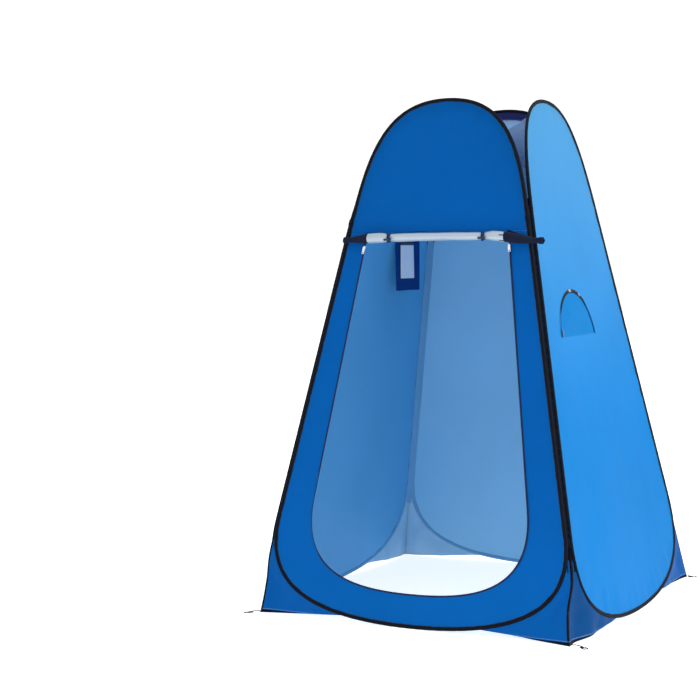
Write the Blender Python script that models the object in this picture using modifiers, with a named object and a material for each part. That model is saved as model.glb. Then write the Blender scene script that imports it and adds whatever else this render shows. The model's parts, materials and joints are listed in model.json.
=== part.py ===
"""Privacy shower tent: four sprung wire loops, each with a taut fabric wall, sewn together at the corners.

Metres, +Z up. The origin is on the ground at the centre of the base. The door wall faces -Y and the window
wall faces +X. Every wall is built flat in its own frame: u along its foot, v up its slope and n straight out.
"""

import math

import bmesh
import bpy
from mathutils import Matrix, Vector
from mathutils.geometry import interpolate_bezier

# ---- driving dimensions ----
BASE_HALF = 0.64  # from the centre to each wall's foot line
APEX_HEIGHT = 3.30  # where the four corner hinge lines would meet
CROWN_V = 1.928  # top of the wire, measured up the slope
SHOULDER_V = 1.52  # the arch springs from the straight sides here
HIP_V = 0.36  # the straight sides turn into the rounded foot here
ARCH_RISE, ARCH_REACH = 0.26, 0.22  # handle lengths of the arch at shoulder and crown
FOOT_DROP, FOOT_REACH = 0.20, 0.50  # handle lengths of the foot at hip and mid-span
CURVE_STEPS = 9

SLEEVE_RADIUS, SLEEVE_WALL = 0.006, 0.002
SLEEVE_MOUTH = math.radians(20)  # half the opening through which the sleeve grips the fabric
WIRE_RADIUS = 0.0015
FERRULE_RADIUS, FERRULE_BORE, FERRULE_LENGTH = 0.0028, 0.0018, 0.030
FERRULE_V = 0.80  # the ferrule sits on the straight right-hand side
RUNNING_GAP = 0.001  # between neighbouring sleeves when a corner is folded shut or flat
FABRIC = 0.0012
GUSSET_OUT = 0.0015  # the gussets lie near the hinge lines, inside the sleeves
GUSSET_CLEAR = 0.0038  # from the wire's centre line to the gusset's rounded edge
GUSSET_TIP, GUSSET_TOE = 0.020, 0.008  # length of its thin end along the ground, and that end's height
GUSSET_TOP_V = HIP_V - 0.05
GAP = 0.0004
WALL_OUT = SLEEVE_RADIUS + RUNNING_GAP / 2  # wall plane outside the hinge lines
WALL_FACE = WALL_OUT + FABRIC / 2

DOOR_TOP_V, DOOR_BOTTOM_V = 1.43, 0.12
DOOR_TOP_HALF, DOOR_HIP_HALF, DOOR_HIP_V = 0.281, 0.420, 0.44
DOOR_FOOT_DROP, DOOR_FOOT_REACH = 0.28, 0.24
CHAIN_HALF, CHAIN_THICK = 0.003, 0.0016
CHAIN_OUT = WALL_FACE + GAP + CHAIN_THICK / 2
CHAIN_TOP_V = 1.40

ROLL_V, ROLL_U, ROLL_HALF, ROLL_RADIUS = 1.409, 0.029, 0.397, 0.016
ROLL_TIP_RADIUS = 0.009
ROLL_OUT = WALL_OUT + SLEEVE_RADIUS + RUNNING_GAP + ROLL_RADIUS
TIE_WIDTH, TIE_THICK, TIE_U, TIE_OFFSET = 0.020, 0.0015, 0.0095, 0.1875
TOGGLE_LENGTH, TOGGLE_RADIUS, TOGGLE_BEVEL = 0.030, 0.004, 0.0015
SIDE_TAB_V = 1.472
SIDE_TAB_WIDTH, SIDE_TAB_DROP, SIDE_TAB_THICK = 0.014, 0.030, 0.0025

SLIDER_LENGTH, SLIDER_HALF, SLIDER_THICK = 0.014, 0.0045, 0.003
PULL_LENGTH, PULL_HALF, PULL_THICK, PULL_HOLE = 0.030, 0.0045, 0.0015, 0.0025
SLIDER_LIP, SLIDER_BEVEL, PULL_CORNER = 0.0015, 0.001, 0.0025
SLIDER_START_V = 1.375

WINDOW_U, WINDOW_V, WINDOW_RADIUS = -0.108, 1.026, 0.178
WINDOW_CHORD = 0.012  # the chord's height above the arch's centre
WINDOW_SLIDER_ANGLE = math.radians(168.6)  # parked at the arch's foot, on the door's side
WINDOW_CHORD_GAP = 0.001  # clearance along the chord, where the flap hinges
FLAP_CLEAR = 0.003  # between the flap's rounded edge and the zip's fixed chain
SCREEN_OUT, SCREEN_MARGIN, SCREEN_FOOT_GAP = WALL_OUT - FABRIC - GAP, 0.010, 0.004

ROOF_CENTRE_Z, ROOF_SIDE_INSET, ROOF_CROWN_INSET = 1.74, 0.009, 0.040
ROOF_OUT = WALL_OUT - 2 * FABRIC
ROOF_THICK, ROOF_TIP_GAP = 0.0008, 0.004  # the four quarters stop this far short of the roof's centre

POCKET_Y, POCKET_TOP_Z = 0.137, 1.40
POCKET_WIDTH, POCKET_DROP, POCKET_THICK, POCKET_BEVEL = 0.22, 0.217, 0.012, 0.003
POCKET_SEAM_OUT = 0.002  # the pocket's top edge reaches this far past the hinge planes, towards the cloth
CARD_WIDTH, CARD_DROP, CARD_THICK = 0.120, 0.145, 0.0012
CARD_SHIFT_Y, CARD_SHIFT_Z = -0.018, 0.013  # the card's middle, from the pocket's

TAPE_WIDTH, TAPE_THICK, TAPE_END_GAP = 0.0052, 0.001, 0.010
PEG_TAB_LENGTH, PEG_TAB_HALF, PEG_TAB_THICK, PEG_HOLE = 0.036, 0.011, 0.002, 0.005
PEG_HOLE_FROM_TIP = 0.011
PEG_TAB_INSET, PEG_TAB_CORNER = 0.006, 0.007  # the tab's inner end stands this far outside the corner

SLOPE_LENGTH = math.hypot(BASE_HALF, APEX_HEIGHT)
LEAN = math.atan2(BASE_HALF, APEX_HEIGHT)
HALF_APEX = math.atan2(BASE_HALF, SLOPE_LENGTH)
UP_SIDE = Vector((-math.sin(HALF_APEX), math.cos(HALF_APEX)))  # up a wall's right-hand side, in (u, v)
WALLS = ("front", "right", "back", "left")
HINGE_U = {"front": 0.0, "right": -BASE_HALF, "back": -BASE_HALF, "left": BASE_HALF}

COLOURS = {
    "blue": (0.006, 0.115, 0.40),
    "light_blue": (0.05, 0.26, 0.68),
    "inner_blue": (0.09, 0.20, 0.40),
    "gusset_blue": (0.006, 0.09, 0.34),
    "black": (0.012, 0.013, 0.018),
    "steel": (0.45, 0.46, 0.48),
    "zinc": (0.70, 0.71, 0.73),
    "silver": (0.55, 0.66, 0.76),
    "mesh": (0.06, 0.08, 0.16),
    "navy": (0.004, 0.035, 0.16),
    "white": (0.75, 0.78, 0.82),
}


# ---- scene set-up ----
def clear_scene():
    for obj in list(bpy.data.objects):
        bpy.data.objects.remove(obj, do_unlink=True)


def new_collection(name):
    collection = bpy.data.collections.new(name)
    bpy.context.scene.collection.children.link(collection)
    return collection


def material(name, roughness=0.7, metallic=0.0):
    found = bpy.data.materials.get(name)
    if found:
        return found
    made = bpy.data.materials.new(name)
    made.use_nodes = True
    shader = made.node_tree.nodes["Principled BSDF"]
    shader.inputs["Base Color"].default_value = (*COLOURS[name], 1.0)
    shader.inputs["Roughness"].default_value = roughness
    shader.inputs["Metallic"].default_value = metallic
    return made


clear_scene()
PARTS = new_collection("privacy_shower_tent")
GUIDES = new_collection("guides")
FINISH = {
    "steel": {"roughness": 0.35, "metallic": 1.0},
    "zinc": {"roughness": 0.3, "metallic": 1.0},
    "silver": {"roughness": 0.4, "metallic": 0.6},
}


def finish_part(obj, parent, colour, matrix=None):
    """Names its material, gathers it in the parts collection and hangs it on its body's empty."""
    PARTS.objects.link(obj)
    obj.data.materials.clear()
    obj.data.materials.append(material(colour, **FINISH.get(colour, {})))
    obj.parent = parent
    obj.matrix_local = matrix or Matrix()
    return obj


# ---- wall frames ----
def wall_matrix(wall):
    """From (u, v, n) of a wall, with its origin at the middle of its foot, to the row."""
    turn = Matrix.Rotation(math.radians(90) * WALLS.index(wall), 4, "Z")
    tilt = Matrix.Rotation(math.radians(90) - LEAN, 4, "X")
    return turn @ Matrix.Translation((0, -BASE_HALF, 0)) @ tilt


def body_empty(name, matrix):
    """A body's empty, with its origin on the joint's axis."""
    empty = bpy.data.objects.new(name, None)
    PARTS.objects.link(empty)
    empty.empty_display_size = 0.1
    empty.matrix_world = matrix
    return empty


def wall_empties():
    """One empty for each wall at the foot of its hinge line, and the offset from it to the wall's frame."""
    empties = {}
    for wall in WALLS:
        shift = Matrix.Translation((HINGE_U[wall], 0, 0))
        empties[wall] = body_empty(wall + "_wall_hinge", wall_matrix(wall) @ shift)
    return empties


def in_wall(wall):
    """From the wall's frame to its empty's frame."""
    return Matrix.Translation((-HINGE_U[wall], 0, 0))


# ---- outlines, in (u, v) ----
def side_u(v, inset):
    """The right-hand side line at height v, inset from the hinge line."""
    return BASE_HALF * (1 - v / SLOPE_LENGTH) - inset / math.cos(HALF_APEX)


def bezier(start, start_handle, end_handle, end, steps=CURVE_STEPS):
    points = [Vector((*p, 0)) for p in (start, start_handle, end_handle, end)]
    return [Vector(p[:2]) for p in interpolate_bezier(*points, steps)]


def mirrored(points):
    return [Vector((-p.x, p.y)) for p in reversed(points)]


def arch_half():
    """The wire's centre line from the right shoulder to the crown."""
    shoulder = Vector((side_u(SHOULDER_V, WALL_OUT), SHOULDER_V))
    return bezier(
        shoulder,
        shoulder + UP_SIDE * ARCH_RISE,
        Vector((ARCH_REACH, CROWN_V)),
        Vector((0, CROWN_V)),
    )


def foot_v():
    """Height up the slope of the wire's centre line at mid-span, so that its sleeve rests on the ground."""
    return (SLEEVE_RADIUS - WALL_OUT * math.sin(LEAN)) / math.cos(LEAN)


def foot_half():
    """The wire's centre line from mid-span to the right hip."""
    hip = Vector((side_u(HIP_V, WALL_OUT), HIP_V))
    return bezier(
        Vector((0, foot_v())),
        Vector((FOOT_REACH, foot_v())),
        hip - UP_SIDE * FOOT_DROP,
        hip,
    )


def wire_line():
    """The whole loop, anticlockwise from mid-span of the foot."""
    right = foot_half() + arch_half()
    return right + mirrored(right)[1:-1]


def offset(points, distance, closed=True):
    """Moves a line sideways, to its right when distance is positive."""
    moved = []
    count = len(points)
    for i, point in enumerate(points):
        before = points[i - 1] if closed or i else point
        after = points[(i + 1) % count] if closed or i < count - 1 else point
        along = (after - before).normalized()
        moved.append(point + Vector((along.y, -along.x)) * distance)
    return moved


def door_side(v):
    """The point at height v on the straight right-hand side of the door opening, and the way up that side."""
    hip = Vector((DOOR_HIP_HALF, DOOR_HIP_V))
    up_edge = (Vector((DOOR_TOP_HALF, DOOR_TOP_V)) - hip).normalized()
    return hip + up_edge * ((v - DOOR_HIP_V) / up_edge.y), up_edge


def door_edge(top_v):
    """The opening's edge from height top_v on the left, round the foot, to the same height on the right."""
    hip, up_edge = door_side(DOOR_HIP_V)
    foot = bezier(
        Vector((0, DOOR_BOTTOM_V)),
        Vector((DOOR_FOOT_REACH, DOOR_BOTTOM_V)),
        hip - up_edge * DOOR_FOOT_DROP,
        hip,
    )
    half = foot + [door_side(top_v)[0]]
    return mirrored(half)[:-1] + half


def arc(centre, radius, start, end, steps=20):
    angles = [start + (end - start) * i / steps for i in range(steps + 1)]
    return [centre + Vector((math.cos(a), math.sin(a))) * radius for a in angles]


def ring(centre, radius, sides=12):
    return arc(centre, radius, 0, 2 * math.pi * (sides - 1) / sides, sides - 1)


def rounded_rectangle(half_width, bottom, top, radius):
    corners = ((1, top, 0), (-1, top, 90), (-1, bottom, 180), (1, bottom, 270))
    points = []
    for side, v, start in corners:
        centre = Vector((side * (half_width - radius), v + (radius if v == bottom else -radius)))
        points += arc(centre, radius, math.radians(start), math.radians(start + 90), 3)
    return points


# ---- shapes ----
def flat_piece(name, outlines, thickness):
    """A flat outline of even thickness about n = 0, with holes where more outlines lie inside the first."""
    curve = bpy.data.curves.new(name, "CURVE")
    curve.dimensions = "2D"
    curve.fill_mode = "BOTH"
    curve.extrude = thickness / 2
    for outline in outlines:
        spline = curve.splines.new("POLY")
        spline.points.add(len(outline) - 1)
        for point, place in zip(spline.points, outline):
            point.co = (place.x, place.y, 0, 1)
        spline.use_cyclic_u = True
    return bpy.data.objects.new(name, curve)


def wire_piece(name, points, radius, closed, radii=None, resolution=1):
    """A round rod along points in three dimensions."""
    curve = bpy.data.curves.new(name, "CURVE")
    curve.dimensions = "3D"
    curve.bevel_depth = radius
    curve.bevel_resolution = resolution
    curve.use_fill_caps = not closed
    spline = curve.splines.new("POLY")
    spline.points.add(len(points) - 1)
    for i, place in enumerate(points):
        spline.points[i].co = (*place, 1)
        spline.points[i].radius = radii[i] if radii else 1.0
    spline.use_cyclic_u = closed
    return bpy.data.objects.new(name, curve)


def turned_piece(name, profile, steps, closed_profile=False):
    """Turns a profile of (radius, height) points about the local Z axis."""
    mesh = bpy.data.meshes.new(name)
    work = bmesh.new()
    verts = [work.verts.new((radius, 0, height)) for radius, height in profile]
    for start, end in zip(verts, verts[1:] + (verts[:1] if closed_profile else [])):
        work.edges.new((start, end))
    work.to_mesh(mesh)
    work.free()
    obj = bpy.data.objects.new(name, mesh)
    screw = obj.modifiers.new("Turn", "SCREW")
    screw.steps = steps
    screw.render_steps = steps
    screw.use_merge_vertices = True
    screw.merge_threshold = 0.00001
    return obj


def box_piece(name, size, bevel=0.0):
    """A box about its own origin, with softened edges."""
    mesh = bpy.data.meshes.new(name)
    work = bmesh.new()
    bmesh.ops.create_cube(work, size=1.0)
    bmesh.ops.scale(work, vec=size, verts=work.verts)
    work.to_mesh(mesh)
    work.free()
    obj = bpy.data.objects.new(name, mesh)
    if bevel:
        rounding = obj.modifiers.new("Soft edges", "BEVEL")
        rounding.width = bevel
        rounding.segments = 2
    return obj


def binding_profile():
    """The sleeve's cross-section: a round binding tape, open towards the fabric that it holds."""
    outer, inner = SLEEVE_RADIUS, SLEEVE_RADIUS - SLEEVE_WALL
    points = []
    for radius, mouth, sides in ((outer, SLEEVE_MOUTH, 7), (inner, SLEEVE_MOUTH * 1.6, 5)):
        line = arc(Vector((0, 0)), radius, mouth, 2 * math.pi - mouth, sides)
        points += line if radius == outer else reversed(line)
    curve = bpy.data.curves.new("binding_profile", "CURVE")
    spline = curve.splines.new("POLY")
    spline.points.add(len(points) - 1)
    for point, (inward, out) in zip(spline.points, points):
        point.co = (-inward, out, 0, 1)
    spline.use_cyclic_u = True
    profile = bpy.data.objects.new("binding_profile", curve)
    profile.hide_render = True
    profile.display_type = "WIRE"
    GUIDES.objects.link(profile)
    return profile


# ---- pieces of every wall ----
def add_frame(wall, empty, profile):
    """Sleeve, spring wire and the ferrule that joins the wire's ends."""
    line = wire_line()
    place = in_wall(wall) @ Matrix.Translation((0, 0, WALL_OUT))
    sleeve = flat_piece(wall + "_frame_sleeve", [line], 0)
    sleeve.data.dimensions = "3D"
    sleeve.data.bevel_mode = "OBJECT"
    sleeve.data.bevel_object = profile
    finish_part(sleeve, empty, "black", place)
    wire = wire_piece(wall + "_spring_wire", [(*p, 0) for p in line], WIRE_RADIUS, True)
    finish_part(wire, empty, "steel", place)
    half = FERRULE_LENGTH / 2
    tube = [
        (FERRULE_RADIUS, half),
        (FERRULE_RADIUS, -half),
        (FERRULE_BORE, -half),
        (FERRULE_BORE, half),
    ]
    ferrule = turned_piece(wall + "_wire_ferrule", tube, 10, closed_profile=True)
    middle = Matrix.Translation((side_u(FERRULE_V, WALL_OUT), FERRULE_V, 0))
    along_side = Matrix.Rotation(HALF_APEX, 4, "Z") @ Matrix.Rotation(math.radians(90), 4, "X")
    finish_part(ferrule, empty, "steel", place @ middle @ along_side)


def fabric_outline():
    """The wall cloth's edge, held in the sleeve's mouth."""
    return offset(wire_line(), -(FERRULE_RADIUS + GAP))


def add_gussets(wall, empty):
    """The two half gussets that fill the corners between the rounded foot and the ground."""
    ground = (FABRIC / 2 - GUSSET_OUT) * math.tan(LEAN)
    rounded = offset(foot_half(), GUSSET_CLEAR, closed=False)
    arc_points = [p for p in rounded if ground + GUSSET_TOE < p.y < GUSSET_TOP_V]
    up_edge = (arc_points[-1] - arc_points[-2]).normalized()
    outline = [
        Vector((arc_points[0].x - GUSSET_TIP, ground)),
        Vector((side_u(ground, GUSSET_OUT), ground)),
        Vector((side_u(GUSSET_TOP_V, GUSSET_OUT), GUSSET_TOP_V)),
        arc_points[-1] + up_edge * GUSSET_CLEAR,
        *reversed(arc_points),
    ]
    for side, points in (("right", outline), ("left", mirrored(outline))):
        gusset = flat_piece(f"{wall}_gusset_{side}", [points], FABRIC)
        finish_part(gusset, empty, "gusset_blue", in_wall(wall) @ Matrix.Translation((0, 0, GUSSET_OUT)))


def roof_rim():
    """The roof mesh's seam on the wall: close to the sleeve at the shoulders, well below it at the crown."""
    half = arch_half()
    inset = []
    for point, inward in zip(half, offset(half, -1.0, closed=False)):
        share = (point.y - SHOULDER_V) / (CROWN_V - SHOULDER_V)
        depth = ROOF_SIDE_INSET + (ROOF_CROWN_INSET - ROOF_SIDE_INSET) * share**2
        inset.append(point + (inward - point) * depth)
    inset[-1].x = 0
    return inset + mirrored(inset)[1:]


def add_roof(wall, empty):
    """One quarter of the see-through roof, from this wall's arch to the roof's centre."""
    to_wall = wall_matrix(wall).inverted()
    toward_wall = wall_matrix(wall).to_3x3() @ Vector((0, 0, 1))
    toward_wall.z = 0
    centre = to_wall @ (Vector((0, 0, ROOF_CENTRE_Z)) + toward_wall.normalized() * ROOF_TIP_GAP)
    rim = [Vector((*p, ROOF_OUT)) for p in roof_rim()]
    mesh = bpy.data.meshes.new(wall + "_roof_mesh")
    work = bmesh.new()
    rings = [[work.verts.new(p.lerp(centre, share)) for p in rim] for share in (0, 0.5)]
    tip = work.verts.new(centre)
    for i in range(len(rim) - 1):
        work.faces.new((rings[0][i], rings[0][i + 1], rings[1][i + 1], rings[1][i]))
        work.faces.new((rings[1][i], rings[1][i + 1], tip))
    for face in work.faces:
        face.smooth = True
    work.to_mesh(mesh)
    work.free()
    roof = bpy.data.objects.new(wall + "_roof_mesh", mesh)
    thicken = roof.modifiers.new("Thickness", "SOLIDIFY")
    thicken.thickness = ROOF_THICK
    thicken.offset = 0
    finish_part(roof, empty, "mesh", in_wall(wall))


def add_plain_wall(wall, empty, colour, holes=()):
    cloth = flat_piece(wall + "_panel", [fabric_outline(), *holes], FABRIC)
    finish_part(cloth, empty, colour, in_wall(wall) @ Matrix.Translation((0, 0, WALL_OUT)))


# ---- the door wall ----
def add_door_cloth(empty):
    """The header above the door and the surround on its other three sides."""
    outline = fabric_outline()
    above = [p for p in outline if p.y > DOOR_TOP_V]
    below = [p for p in outline if p.y < DOOR_TOP_V]
    side = side_u(DOOR_TOP_V, WALL_OUT + FERRULE_RADIUS + GAP)
    seam = GAP / 2
    header = [Vector((-side, DOOR_TOP_V + seam)), Vector((side, DOOR_TOP_V + seam)), *above]
    middle = next(i for i, p in enumerate(below) if p.x < 0)
    rim = below[middle:] + below[:middle]
    surround = [Vector((-side, DOOR_TOP_V - seam)), *rim, Vector((side, DOOR_TOP_V - seam))]
    inner = door_edge(DOOR_TOP_V - seam)
    place = Matrix.Translation((0, 0, WALL_OUT))
    finish_part(flat_piece("front_header", [header], FABRIC), empty, "blue", place)
    piece = flat_piece("front_door_surround", [surround + list(reversed(inner))], FABRIC)
    finish_part(piece, empty, "blue", place)


def add_door_zip(empty):
    """The zip's fixed chain, sewn round the opening's edge."""
    line = offset(door_edge(CHAIN_TOP_V), CHAIN_HALF / 2, closed=False)
    band = offset(line, CHAIN_HALF, closed=False) + list(reversed(offset(line, -CHAIN_HALF, closed=False)))
    chain = flat_piece("door_zip_chain", [band], CHAIN_THICK)
    finish_part(chain, empty, "black", Matrix.Translation((0, 0, CHAIN_OUT)))


def add_door_roll(empty):
    """The door, rolled up under the header, with its two ties and toggles."""
    steps = (-1, -0.985, -0.94, -0.75, -0.7, 0.7, 0.75, 0.94, 0.985, 1)
    tip = ROLL_TIP_RADIUS / ROLL_RADIUS
    taper = (tip * 0.6, tip, tip * 1.1, 0.85, 1.0)
    radii = list(taper) + list(reversed(taper))
    points = [(ROLL_U + s * ROLL_HALF, ROLL_V, ROLL_OUT) for s in steps]
    roll = wire_piece("rolled_door", points, ROLL_RADIUS, False, radii, resolution=4)
    finish_part(roll, empty, "silver")
    for side, sign in (("left", -1), ("right", 1)):
        u = TIE_U + sign * TIE_OFFSET
        add_tie(side, empty, Matrix.Translation((u, ROLL_V, ROLL_OUT)))


def add_tie(side, empty, centre):
    """A webbing band round the roll, and the toggle that its ends are looped over."""
    inner = ROLL_RADIUS + 2 * GAP
    outer = inner + TIE_THICK
    half = TIE_WIDTH / 2
    band = [(outer, half), (outer, -half), (inner, -half), (inner, half)]
    tie = turned_piece(f"door_tie_{side}", band, 20, closed_profile=True)
    finish_part(tie, empty, "navy", centre @ Matrix.Rotation(math.radians(90), 4, "Y"))
    length, radius = TOGGLE_LENGTH / 2, TOGGLE_RADIUS
    profile = [(0, length), (radius - TOGGLE_BEVEL, length), (radius, length - TOGGLE_BEVEL)]
    profile += [(r, -h) for r, h in reversed(profile)]
    toggle = turned_piece(f"door_toggle_{side}", profile, 10)
    out = outer + radius + GAP
    seat = Matrix.Translation((0, -0.5 * out, math.sqrt(0.75) * out))
    finish_part(toggle, empty, "black", centre @ seat @ Matrix.Rotation(math.radians(90), 4, "Y"))


def add_side_tabs(empty):
    """Short webbing tabs on the frame's shoulders, above the roll."""
    for side, sign in (("left", -1), ("right", 1)):
        u = sign * side_u(SIDE_TAB_V, WALL_OUT)
        tab = box_piece(f"side_tab_{side}", (SIDE_TAB_WIDTH, SIDE_TAB_DROP, SIDE_TAB_THICK), 0.0008)
        turn = Matrix.Rotation(sign * HALF_APEX, 4, "Z")
        out = WALL_OUT + SLEEVE_RADIUS + GAP + SIDE_TAB_THICK / 2
        finish_part(tab, empty, "black", Matrix.Translation((u, SIDE_TAB_V, out)) @ turn)


# ---- zip sliders and pulls ----
def slider_body(name):
    """A slider seen along its travel: a plate over the chain and a lip past the chain's free edge, at -u."""
    low = -CHAIN_THICK / 2
    plate = CHAIN_THICK / 2 + GAP
    free = -(CHAIN_HALF + GAP)
    outline = [
        Vector((free, low)),
        Vector((free, plate)),
        Vector((SLIDER_HALF, plate)),
        Vector((SLIDER_HALF - SLIDER_BEVEL, plate + SLIDER_THICK)),
        Vector((free - SLIDER_LIP + SLIDER_BEVEL, plate + SLIDER_THICK)),
        Vector((free - SLIDER_LIP, plate + SLIDER_THICK - SLIDER_BEVEL)),
        Vector((free - SLIDER_LIP, low)),
    ]
    return flat_piece(name, [outline], SLIDER_LENGTH)


def add_slider(prefix, suffix, parent, place):
    """A slider and its pull. place has u across the chain with its free edge at -u, and v along it."""
    stand = Matrix.Rotation(math.radians(90), 4, "X")
    finish_part(slider_body(f"{prefix}_slider{suffix}"), parent, "zinc", place @ stand)
    hang_v = SLIDER_LENGTH / 2 - PULL_HALF
    out = CHAIN_THICK / 2 + GAP + SLIDER_THICK + GAP + PULL_THICK / 2
    pivot = place @ Matrix.Translation((0, hang_v, out))
    hinge = bpy.data.objects.new(f"{prefix}_pull_hinge{suffix}", None)
    PARTS.objects.link(hinge)
    hinge.parent = parent
    hinge.matrix_local = pivot
    top_v = PULL_THICK / 2  # it turns about its very end, so the end never meets the slider
    outline = rounded_rectangle(PULL_HALF, PULL_HALF - PULL_LENGTH, top_v, PULL_CORNER)
    hole = ring(Vector((0, PULL_HALF * 2 - PULL_LENGTH)), PULL_HOLE)
    pull = flat_piece(f"{prefix}_pull{suffix}", [outline, hole], PULL_THICK)
    finish_part(pull, hinge, "zinc")
    return hinge


def add_door_sliders(front):
    """Two sliders parked at the top of the opening's straight sides."""
    start, up_edge = door_side(SLIDER_START_V)
    start += Vector((up_edge.y, -up_edge.x)) * (CHAIN_HALF / 2)
    tilt = math.atan2(-up_edge.x, up_edge.y)
    for side, sign in (("left", -1), ("right", 1)):
        empty = bpy.data.objects.new(f"door_slider_{side}_rail", None)
        PARTS.objects.link(empty)
        empty.parent = front
        place = Matrix.Translation((sign * start.x, start.y, CHAIN_OUT))
        empty.matrix_local = place @ Matrix.Rotation(sign * tilt, 4, "Z")
        mirror = Matrix.Diagonal((sign, 1, 1, 1))
        add_slider("door_zip", f"_{side}", empty, mirror)


# ---- the window wall ----
def half_moon(radius, bottom_gap):
    """A disc's upper part, cut off bottom_gap above the flap's hinge line."""
    centre = Vector((WINDOW_U, WINDOW_V))
    start = math.asin((WINDOW_CHORD + bottom_gap) / radius)
    return arc(centre, radius, start, math.pi - start, 40)


def add_window(wall_empty):
    """The screen, the zip round it, and the flap that hangs on its chord."""
    place = in_wall("right")
    cloth = half_moon(WINDOW_RADIUS + SCREEN_MARGIN, SCREEN_FOOT_GAP)
    screen = flat_piece("window_screen", [cloth], FABRIC / 2)
    finish_part(screen, wall_empty, "mesh", place @ Matrix.Translation((0, 0, SCREEN_OUT)))
    outer = half_moon(WINDOW_RADIUS + CHAIN_HALF, WINDOW_CHORD_GAP)
    inner = half_moon(WINDOW_RADIUS - CHAIN_HALF, WINDOW_CHORD_GAP)
    chain = flat_piece("window_zip_chain", [outer + list(reversed(inner))], CHAIN_THICK)
    finish_part(chain, wall_empty, "black", place @ Matrix.Translation((0, 0, CHAIN_OUT)))
    hinge_out = WALL_FACE + GAP
    hinge = bpy.data.objects.new("window_flap_hinge", None)
    PARTS.objects.link(hinge)
    hinge.parent = wall_empty
    hinge.matrix_local = place @ Matrix.Translation((WINDOW_U, WINDOW_V + WINDOW_CHORD, hinge_out))
    loose = half_moon(WINDOW_RADIUS - CHAIN_HALF - FLAP_CLEAR, WINDOW_CHORD_GAP)
    flap = flat_piece("window_flap", [loose], FABRIC)
    back_to_wall = Matrix.Translation((-WINDOW_U, -WINDOW_V - WINDOW_CHORD, WALL_OUT - hinge_out))
    finish_part(flap, hinge, "light_blue", back_to_wall)


def add_window_slider(wall_empty):
    """The window's slider, parked at the foot of the arch. It travels round the arch's centre."""
    centre = bpy.data.objects.new("window_slider_centre", None)
    PARTS.objects.link(centre)
    centre.parent = wall_empty
    centre.matrix_local = in_wall("right") @ Matrix.Translation((WINDOW_U, WINDOW_V, CHAIN_OUT))
    turn = Matrix.Rotation(WINDOW_SLIDER_ANGLE, 4, "Z")
    pull_down = Matrix.Diagonal((1, -1, 1, 1))
    add_slider("window_zip", "", centre, turn @ Matrix.Translation((WINDOW_RADIUS, 0, 0)) @ pull_down)


# ---- pocket, peg tabs and corner tapes ----
def add_pocket(left):
    """A toiletry pocket that hangs plumb from its top edge inside the left wall."""
    inner_x = -BASE_HALF * (1 - POCKET_TOP_Z / APEX_HEIGHT) - POCKET_SEAM_OUT
    top = Matrix.Translation((inner_x + POCKET_THICK / 2, POCKET_Y, POCKET_TOP_Z))
    hinge = bpy.data.objects.new("pocket_hinge", None)
    PARTS.objects.link(hinge)
    hinge.parent = left
    hinge.matrix_local = left.matrix_world.inverted() @ top
    pocket = box_piece("toiletry_pocket", (POCKET_THICK, POCKET_WIDTH, POCKET_DROP), POCKET_BEVEL)
    drop = Matrix.Translation((0, 0, -POCKET_DROP / 2))
    finish_part(pocket, hinge, "navy", drop)
    card = box_piece("pocket_card", (CARD_THICK, CARD_WIDTH, CARD_DROP))
    out = POCKET_THICK / 2 + GAP + CARD_THICK / 2
    finish_part(card, hinge, "white", drop @ Matrix.Translation((out, CARD_SHIFT_Y, CARD_SHIFT_Z)))


def add_peg_tabs(empties):
    """Webbing tabs with a peg hole, flat on the ground outside each corner."""
    for name, wall, x, y in (
        ("front_left", "front", -1, -1),
        ("front_right", "front", 1, -1),
        ("back_right", "back", 1, 1),
        ("back_left", "back", -1, 1),
    ):
        outward = math.atan2(y, x)
        corner = Matrix.Translation((x * BASE_HALF, y * BASE_HALF, PEG_TAB_THICK / 2))
        turn = Matrix.Rotation(outward - math.radians(90), 4, "Z")
        tip_v = PEG_TAB_INSET + PEG_TAB_LENGTH
        outline = rounded_rectangle(PEG_TAB_HALF, PEG_TAB_INSET, tip_v, PEG_TAB_CORNER)
        hole = ring(Vector((0, tip_v - PEG_HOLE_FROM_TIP)), PEG_HOLE)
        tab = flat_piece(f"peg_tab_{name}", [outline, hole], PEG_TAB_THICK)
        local = empties[wall].matrix_world.inverted() @ corner @ turn
        finish_part(tab, empties[wall], "black", local)


def add_corner_tapes(empties):
    """The narrow tapes that join neighbouring sleeves along the four hinge lines."""
    low, high = HIP_V + TAPE_END_GAP, SHOULDER_V - TAPE_END_GAP
    for name, wall, x, y in (
        ("front_left", "front", -1, -1),
        ("front_right", "front", 1, -1),
        ("back_right", "right", 1, 1),
        ("back_left", "left", -1, 1),
    ):
        foot = Vector((x * BASE_HALF, y * BASE_HALF, 0))
        up_line = (Vector((0, 0, APEX_HEIGHT)) - foot).normalized()
        across = Vector((-y, x, 0)).normalized()
        middle = foot + up_line * (low + high) / 2 / math.cos(HALF_APEX)
        turn = Matrix((across, up_line.cross(across), up_line)).transposed().to_4x4()
        tape = box_piece(f"corner_tape_{name}", (TAPE_WIDTH, TAPE_THICK, high - low))
        local = empties[wall].matrix_world.inverted() @ Matrix.Translation(middle) @ turn
        finish_part(tape, empties[wall], "black", local)


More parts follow.
